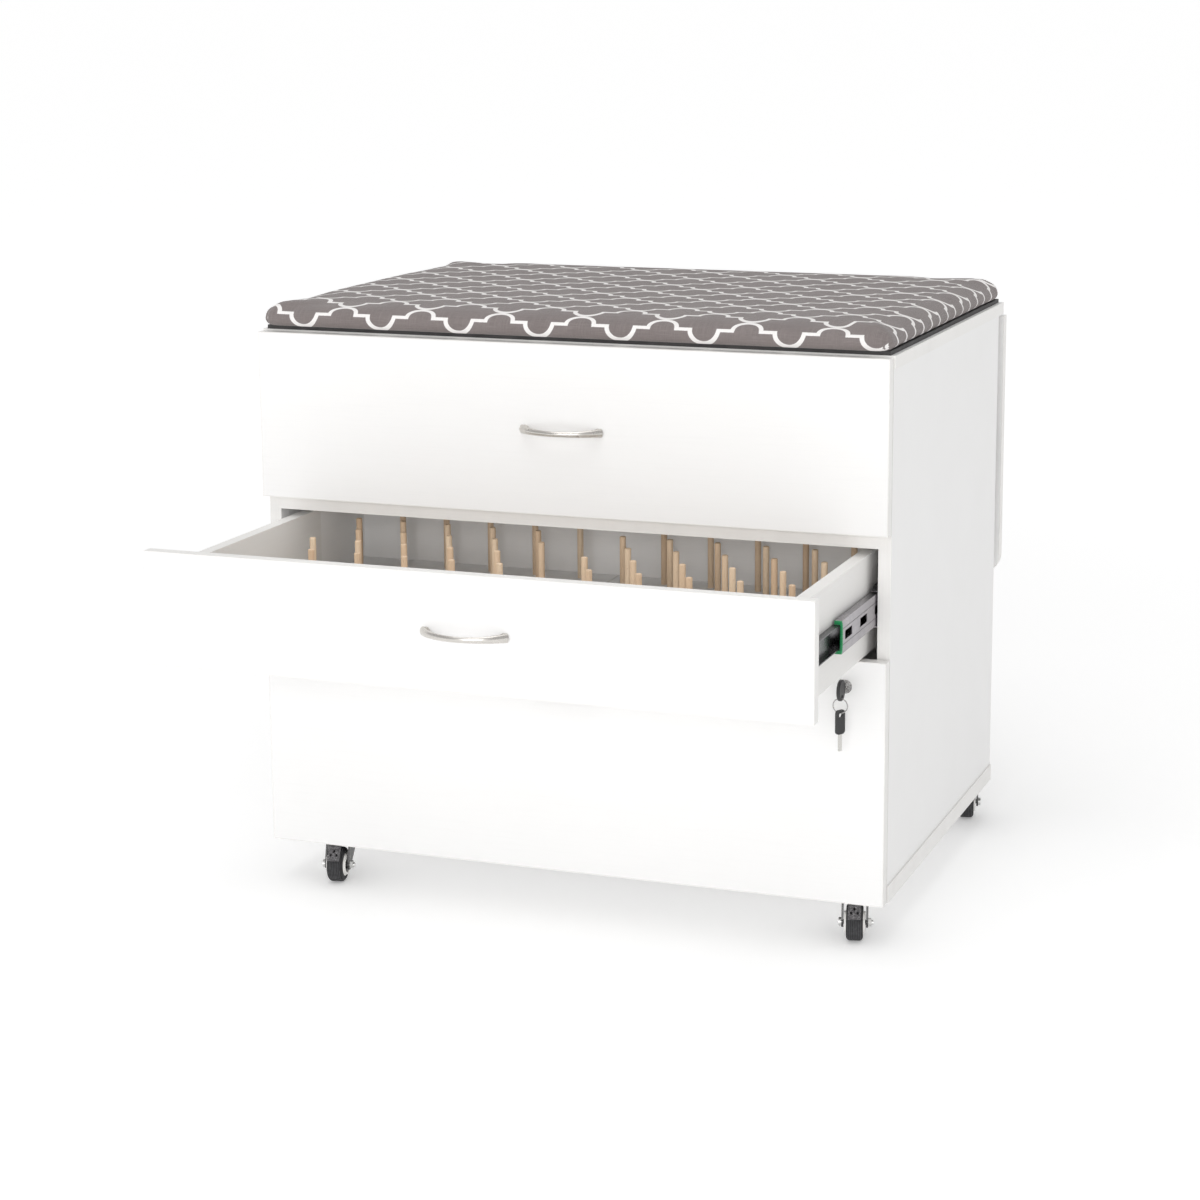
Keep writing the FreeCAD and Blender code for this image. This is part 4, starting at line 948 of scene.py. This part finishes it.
# %% Corner creases
CREASE = 1.6 * MM
CREASE_TURN = 0.10           # how far the crease spreads round the corner, in radians
for sign_x in (-1, 1):
    for sign_y in (-1, 1):
        signs = np.array((sign_x, sign_y))
        corner_at = pad_middle[:2] + (pad_half[:2] - PAD_CORNER) * signs
        arm = places[:, :2] - corner_at
        turn = np.arctan2(arm[:, 1] * sign_y, arm[:, 0] * sign_x)
        reach = np.linalg.norm(arm, axis=1)
        near = np.exp(-((turn - math.pi / 4) / CREASE_TURN) ** 2) * (reach > PAD_CORNER * 0.4)
        fade = np.clip((pad_high.z - places[:, 2]) / (0.5 * depth), 0, 1)
        push = (near * fade * CREASE)[:, None] * arm / np.maximum(reach, 1e-6)[:, None]
        places[:, :2] -= push
set_points(pad.data, places)
pad.data.polygons.foreach_set("use_smooth", [True] * len(pad.data.polygons))
print("creases:", CREASE / MM, "mm deep")

# %% [markdown]
# ## The printed cover
# The canvas is printed with a trellis of white lines on warm grey. One line runs across the cloth as a
# row of half circles, down and up in turn, joined by short level ticks. Each next row is moved by half a
# repeat, so a low half circle meets the high one of the row below in a small pinch. The print doesn't
# stop at the pad's edge: it runs over it and down the side. So each point gets its place on the flat
# cloth, measured along the surface: over the edge the path follows the rounding, then goes straight
# down. A face on the side takes the drop of its own side, so the print breaks only at the corner fold.

# %% Place on the flat cloth
REPEAT = 107 * MM            # one low half circle to the next
ROW = 41 * MM
LOBE = 18 * MM               # radius of the half circles
LINE = 2.8 * MM              # half the line's width
FIRST_LOBE = -0.5 * (cad_high.x - cad_low.x) + 64.5 * MM
LAST_ROW_DROP = 27.5 * MM    # how far down the front side the lowest half circles reach


def cloth_drop(distance_out, height, top):
    """Length along the cloth beyond the flat top, for a point this far out and this low."""
    below = np.clip(top - height, 0, None)
    radius = PAD_EDGE
    swing = np.arctan2(np.clip(distance_out, 0, None), np.clip(radius - below, 1e-6, None))
    return np.where(below < radius, radius * swing, radius * math.pi / 2 + below - radius)


# %% [markdown]
# Every corner of every face gets its own place, and not only every point, because at the corner fold one
# point lies on two runs of cloth: the front's and the side's.

# %% Place for every face corner
def cloth_places(mesh):
    """Place on the flat cloth for every corner of every face: across and along, in metres."""
    spots = points_of(mesh)
    corner_points = np.empty(len(mesh.loops), np.int32)
    mesh.loops.foreach_get("vertex_index", corner_points)
    normals = np.empty(len(mesh.polygons) * 3, np.float32)
    mesh.polygons.foreach_get("normal", normals)
    counts = np.empty(len(mesh.polygons), np.int32)
    mesh.polygons.foreach_get("loop_total", counts)
    facing = np.repeat(normals.reshape(-1, 3), counts, axis=0)
    spot = spots[corner_points]
    out = np.abs(spot[:, :2] - pad_middle[:2]) - (pad_half[:2] - PAD_EDGE)
    sign = np.sign(spot[:, :2] - pad_middle[:2])
    top = spots[:, 2].max() - PAD_CROWN * np.clip((out + PAD_EDGE) / (4 * PAD_EDGE), 0, 1).max(axis=1)
    edge = pad_middle[:2] + sign * (pad_half[:2] - PAD_EDGE)
    flat = spot[:, :2].copy()
    to_side = np.abs(facing[:, 0]) > np.abs(facing[:, 1])
    for axis, chosen in ((0, to_side), (1, ~to_side)):
        over = chosen & (out[:, axis] > 0)
        drop = cloth_drop(out[:, axis], spot[:, 2], top)
        flat[over, axis] = (edge[:, axis] + sign[:, axis] * drop)[over]
    return np.column_stack([flat, np.zeros(len(flat))])


flat_cloth = cloth_places(pad.data)
cloth_map = pad.data.attributes.new("cloth_place", "FLOAT_VECTOR", "CORNER")
cloth_map.data.foreach_set("vector", flat_cloth.astype(np.float32).ravel())
print("cloth runs from", flat_cloth.min(axis=0).round(3), "to", flat_cloth.max(axis=0).round(3))

# %% [markdown]
# ## Canvas and print
# The print is drawn by distance: how far is this point from the nearest line? The plane is folded onto
# one half repeat, where the line is one low quarter circle, one tick and one high quarter circle.

# %% Trellis lines
PINCH = 0.9 * MM             # how much narrower the line is where two rows meet
RAGGED = 0.9 * MM            # how far the ink strays from a clean edge


def trellis(tree, flat, jitter):
    """1 on the printed line and 0 on the ground."""
    parts = put(tree, "SeparateXYZ", {0: flat}).outputs
    front_line = pad_low.y + PAD_EDGE - (math.pi / 2 - 1) * PAD_EDGE - LAST_ROW_DROP
    along = sums(tree, "SUBTRACT", parts["Y"], front_line - LINE)
    row = sums(tree, "FLOOR", sums(tree, "DIVIDE", along, ROW))
    height = sums(tree, "SUBTRACT", along, sums(tree, "MULTIPLY", row, ROW))
    height = sums(tree, "SUBTRACT", height, LINE)
    odd = sums(tree, "MULTIPLY", sums(tree, "MODULO", sums(tree, "ABSOLUTE", row), 2.0), REPEAT / 2)
    across = sums(tree, "ADD", sums(tree, "SUBTRACT", parts["X"], FIRST_LOBE), odd)
    fold = sums(tree, "PINGPONG", across, REPEAT / 2)
    up = sums(tree, "SUBTRACT", height, LOBE)
    mirrored = sums(tree, "SUBTRACT", REPEAT / 2, fold)
    high = sums(tree, "GREATER_THAN", up, 0.0)
    beside = put(tree, "Mix", {0: high, 2: fold, 3: mirrored}).outputs[0]
    squares = sums(tree, "ADD", sums(tree, "POWER", beside, 2.0), sums(tree, "POWER", up, 2.0))
    radial = sums(tree, "SQRT", squares)
    lobe = sums(tree, "ABSOLUTE", sums(tree, "SUBTRACT", radial, LOBE))
    past_low = sums(tree, "SUBTRACT", LOBE, fold)
    past_high = sums(tree, "SUBTRACT", LOBE, mirrored)
    past = sums(tree, "MAXIMUM", past_low, past_high)
    tick = sums(tree, "MAXIMUM", sums(tree, "ABSOLUTE", up), sums(tree, "MAXIMUM", past, 0.0))
    tick = sums(tree, "ADD", tick, 0.25 * MM)
    deep = sums(tree, "SUBTRACT", sums(tree, "ABSOLUTE", up), LOBE)
    pinch = sums(tree, "MAXIMUM", beside, sums(tree, "SUBTRACT", 0.0, deep))
    pinch = sums(tree, "ADD", pinch, PINCH)
    nearest = sums(tree, "MINIMUM", sums(tree, "MINIMUM", lobe, tick), pinch)
    stray = sums(tree, "MULTIPLY", sums(tree, "SUBTRACT", jitter, 0.5), RAGGED)
    ragged = sums(tree, "ADD", nearest, stray)
    return scale_to(tree, ragged, LINE - 0.25 * MM, LINE + 0.25 * MM, 1.0, 0.0)


# %% [markdown]
# The weave goes on top. Two sets of threads pass over and under each other, some thicker than others.
# A chequer of one thread says which set is on top at each crossing.

# %% Weave
THREAD = 0.62 * MM


def weave(tree, flat):
    """Height of the threads, and how thick each thread is."""
    parts = put(tree, "SeparateXYZ", {0: flat}).outputs
    warp = cloud(tree, flat, (1 / THREAD, 26.0, 1.0), detail=2.0)
    weft = cloud(tree, flat, (26.0, 1 / THREAD, 1.0), detail=2.0)
    turn = math.pi / THREAD
    ridge_x = sums(tree, "ABSOLUTE", sums(tree, "SINE", sums(tree, "MULTIPLY", parts["X"], turn)))
    ridge_y = sums(tree, "ABSOLUTE", sums(tree, "SINE", sums(tree, "MULTIPLY", parts["Y"], turn)))
    grid = put(tree, "TexChecker", {"Vector": flat, "Scale": 1 / THREAD}).outputs["Fac"]
    over = put(tree, "Mix", {0: grid, 2: ridge_x, 3: ridge_y}).outputs[0]
    slub = sums(tree, "MAXIMUM", warp, weft)
    return over, slub


# %% [markdown]
# The ground is a heather of darker and lighter threads, and the gaps between threads get painted shade.
# The ink sits on the raised threads, so the edge of each line is slightly ragged, and the canvas has the
# faint sheen of cotton.

# %% Cover finish
def cover_finish():
    """Heather grey canvas with the white trellis printed on it."""
    material, tree, shader = skin("trellis_canvas", Sheen_Weight=0.25, Sheen_Roughness=0.45)
    shader.inputs["Specular IOR Level"].default_value = 0.2
    flat = put(tree, "Attribute", attribute_name="cloth_place").outputs["Vector"]
    jitter = cloud(tree, flat, 900.0, detail=2.0)
    threads, slub = weave(tree, flat)
    line = trellis(tree, flat, jitter)
    heather = cloud(tree, flat, (160.0, 420.0, 1.0), detail=4.0, roughness=0.7)
    ground = tint(tree, scale_to(tree, slub, 0.4, 0.75), (0.185, 0.158, 0.153, 1), (0.285, 0.250, 0.243, 1))
    ground = tint(tree, scale_to(tree, heather, 0.35, 0.75, 0.0, 0.45), ground, (0.165, 0.140, 0.135, 1))
    # painted shade: the low places between threads are darkened
    ground = tint(tree, scale_to(tree, threads, 0.0, 0.7, 0.35, 0.0), ground, (0.115, 0.098, 0.095, 1))
    ink = tint(tree, scale_to(tree, slub, 0.4, 0.8), (0.86, 0.835, 0.82, 1), (0.95, 0.93, 0.92, 1))
    ink = tint(tree, scale_to(tree, threads, 0.0, 0.5, 0.22, 0.0), ink, (0.62, 0.58, 0.56, 1))
    fade = cloud(tree, flat, 11.0, detail=3.0)
    colour = tint(tree, line, ground, ink)
    colour = tint(tree, scale_to(tree, fade, 0.35, 0.7, 0.0, 0.07), colour, (0.55, 0.52, 0.50, 1))
    wire(tree, shader, Base_Color=colour, Roughness=scale_to(tree, slub, 0.3, 0.7, 0.78, 0.95))
    relief = sums(tree, "ADD", threads, sums(tree, "MULTIPLY", slub, 0.8))
    emboss(tree, shader, relief, 0.12 * MM, 0.7)
    return material


pad.data.materials.clear()
pad.data.materials.append(cover_finish())
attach(pad, "cabinet")
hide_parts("pad")
pad_points = points_of(pad.data)
print("pad stands", round((pad_points[:, 2].max() - pad_high.z) / MM, 1), "mm above its plain solid")

# %% [markdown]
# ## Screws
# Small fittings make the difference between a box and a cabinet: screws hold the pulls, the hinges, the
# lugs, the slides and the caster plates. A pan-head screw is a shallow dome with a cross pressed into it.
# It is modelled as rings of points on a dome, with the points under the cross pushed in. All screws that
# belong to one body are one piece.

# %% Screw heads
SPOKES = 32
DOME = ((0.0, 0.52), (0.22, 0.52), (0.42, 0.50), (0.62, 0.45), (0.82, 0.32), (0.96, 0.12), (1.0, 0.0))


def screw_head(made, place, normal, radius, spin=0.0):
    """Add one pan head with a cross recess."""
    facing = Vector(normal).to_track_quat("Z", "Y").to_matrix().to_4x4()
    seat = Matrix.Translation(place) @ facing @ Matrix.Rotation(spin, 4, "Z")
    rings = []
    for share, rise in DOME:
        ring = []
        for number in range(SPOKES if share else 1):
            angle = 2 * math.pi * number / SPOKES
            arm = abs((angle + math.pi / 4) % (math.pi / 2) - math.pi / 4)
            inside_cross = share < 0.7 and share * math.sin(arm) < 0.13
            drop = 0.42 * max(0.0, 1.0 - share) if inside_cross else 0.0
            spot = Vector((share * math.cos(angle), share * math.sin(angle), rise - drop)) * radius
            ring.append(made.verts.new(seat @ spot))
        rings.append(ring)
    for number in range(SPOKES):
        after = (number + 1) % SPOKES
        made.faces.new((rings[0][0], rings[1][number], rings[1][after]))
        for inner, outer in zip(rings[1:], rings[2:]):
            made.faces.new((inner[number], outer[number], outer[after], inner[after]))
    made.faces.new(list(reversed(rings[-1])))


# %% [markdown]
# Each small fitting ends in the same way: its geometry becomes a smooth mesh, takes a material, joins the
# scene and rides on a body, so that it moves with the drawer, leaf or caster that it holds.

# %% From geometry to a fitting
def fitting(name, made, body, material):
    """Turn finished geometry into a smooth piece that rides on a body."""
    mesh = bpy.data.meshes.new(name)
    made.to_mesh(mesh)
    made.free()
    mesh.polygons.foreach_set("use_smooth", [True] * len(mesh.polygons))
    mesh.materials.append(material)
    piece = join_scene(bpy.data.objects.new(name, mesh))
    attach(piece, body)
    print(name, "has", len(mesh.polygons), "faces and rides on", body)


def screws(name, body, material, heads):
    """One piece with all these screws. Each head is (place, normal, radius)."""
    made = bmesh.new()
    for number, (place, normal, radius) in enumerate(heads):
        screw_head(made, Vector(place), normal, radius, spin=number * 0.77)
    fitting(name, made, body, material)


# %% [markdown]
# Each pull is held by two screws from inside its drawer front, each hinge flap by three in the leaf, and
# each caster plate by four from below. Their places are counted from the pieces that they hold.

# %% Place the screws
PULL_HALF = 48.5 * MM        # from the middle of a pull to either screw
HINGE_OUT = 290 * MM         # from the middle of the leaf to either hinge
HINGE_STEP = 27 * MM
FLAP_HEIGHT = 18 * MM
PLATE_STEPS = (19 * MM, 25 * MM)   # from the kingpin, across and deep
for drawer in DRAWERS:
    pull_low, pull_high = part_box(drawer + "_handle")
    inner_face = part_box(drawer + "_front")[1].y
    level = (pull_low.z + pull_high.z) / 2
    heads = [((side * PULL_HALF, inner_face, level), (0, 1, 0), 4.2 * MM) for side in (-1, 1)]
    screws(drawer + "_pull_screws", drawer, slide_zinc, heads)

flap_low, flap_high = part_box("leaf_hinge_flaps")
flap_level = flap_low.z + FLAP_HEIGHT / 2
heads = []
for side in (-1, 1):
    for step in (-1, 0, 1):
        spot = (side * HINGE_OUT + step * HINGE_STEP, flap_high.y - 1.2 * MM, flap_level)
        heads.append((spot, (0, -1, 0), 2.6 * MM))
screws("leaf_hinge_screws", "leaf", hinge_zinc, heads)

plate_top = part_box("caster_plates")[1].z
heads = []
for corner in CORNERS:
    kingpin = joints["caster_" + corner + "_swivel"]["pos_m"]
    for side_x in (-1, 1):
        for side_y in (-1, 1):
            across, deep = kingpin[0] + side_x * PLATE_STEPS[0], kingpin[1] + side_y * PLATE_STEPS[1]
            heads.append(((across, deep, plate_top - 2.5 * MM), (0, 0, -1), 2.4 * MM))
screws("caster_plate_screws", "cabinet", hinge_zinc, heads)

# %% [markdown]
# ## Ends of the open slide
# Two moulded parts show where the open drawer's slide comes out. A green bumper caps the front end of the
# middle member: it is ribbed across, so it gives when the slide closes. A black catch sits above the slide
# in the cabinet's mouth and holds the drawer shut. Each is made as a stack of rounded rings, since both
# are one small section carried along a line, and only the size of the section changes.

# %% Stacks of rings
RING_POINTS = 20


def rounded_ring(middle, across, deep, corner, upright):
    """Points of a rounded oblong round a middle. upright says whether the ring lies flat."""
    points = []
    for number in range(RING_POINTS):
        angle = 2 * math.pi * (number + 0.5) / RING_POINTS
        first = math.copysign(across - corner, math.cos(angle)) + corner * math.cos(angle)
        second = math.copysign(deep - corner, math.sin(angle)) + corner * math.sin(angle)
        points.append(middle + (Vector((first, second, 0)) if upright else Vector((first, 0, second))))
    return points


def stack(made, rings):
    """Skin a stack of rings and close both ends."""
    rows = [[made.verts.new(point) for point in ring] for ring in rings]
    count = len(rows[0])
    for low_row, high_row in zip(rows, rows[1:]):
        for number in range(count):
            after = (number + 1) % count
            made.faces.new((low_row[number], low_row[after], high_row[after], high_row[number]))
    made.faces.new(list(reversed(rows[0])))
    made.faces.new(rows[-1])


def moulded_piece(name, body, material, stacks):
    """One smooth piece made from stacks of rings."""
    made = bmesh.new()
    for rings in stacks:
        stack(made, rings)
    bmesh.ops.recalc_face_normals(made, faces=made.faces)
    fitting(name, made, body, material)


# %% [markdown]
# The bumper swells towards its middle and has a wave of ribs along it. It sits just in front of the
# clip, and rides with the middle members, as the clip does.

# %% Green bumpers
RIB_PITCH = 2.6 * MM
BUMPER_RINGS = 61
clip_low, clip_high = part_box("thread_drawer_rail_clips")
clip_middle_y = (clip_low.y + clip_high.y) / 2 - 0.5 * MM
bumpers = []
for side in (-1, 1):
    rings = []
    span = clip_high.z - clip_low.z - 3 * MM
    for number in range(BUMPER_RINGS):
        share = number / (BUMPER_RINGS - 1)
        level = clip_low.z + 1.5 * MM + span * share
        rib = 0.5 + 0.5 * math.cos(2 * math.pi * (level - clip_low.z) / RIB_PITCH)
        belly = math.sin(math.pi * share) ** 0.35 if 0 < share < 1 else 0.02
        across = (0.7 + 0.9 * belly) * MM * (0.78 + 0.22 * rib)
        middle = Vector((side * (clip_high.x - 0.2 * MM), clip_middle_y, level))
        rings.append(rounded_ring(middle, across, 1.9 * MM * (0.6 + 0.4 * belly), 0.6 * MM, True))
    bumpers.append(rings)
moulded_piece("thread_slide_bumpers", "thread_drawer_slides", green, bumpers)

# %% [markdown]
# The catch is a flat black tongue that runs back along the slide, with a hump near its front end.

# %% Black catches
CATCH_LENGTH = 26 * MM
CATCH_RINGS = 25
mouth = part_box("cabinet_rails")[0].y
catches = []
for side in (-1, 1):
    middle_x = side * (clip_high.x - 3.2 * MM)
    rings = []
    for number in range(CATCH_RINGS):
        share = number / (CATCH_RINGS - 1)
        along = mouth - 1.5 * MM + share * CATCH_LENGTH
        level = clip_high.z + 5.6 * MM - 2.0 * MM * math.cos(math.pi * min(1.0, share * 2.2))
        thick = (1.1 + 0.5 * math.sin(math.pi * share)) * MM
        rings.append(rounded_ring(Vector((middle_x, along, level)), 2.6 * MM, thick, 0.6 * MM, False))
    catches.append(rings)
moulded_piece("thread_slide_catches", "cabinet", black_plastic, catches)
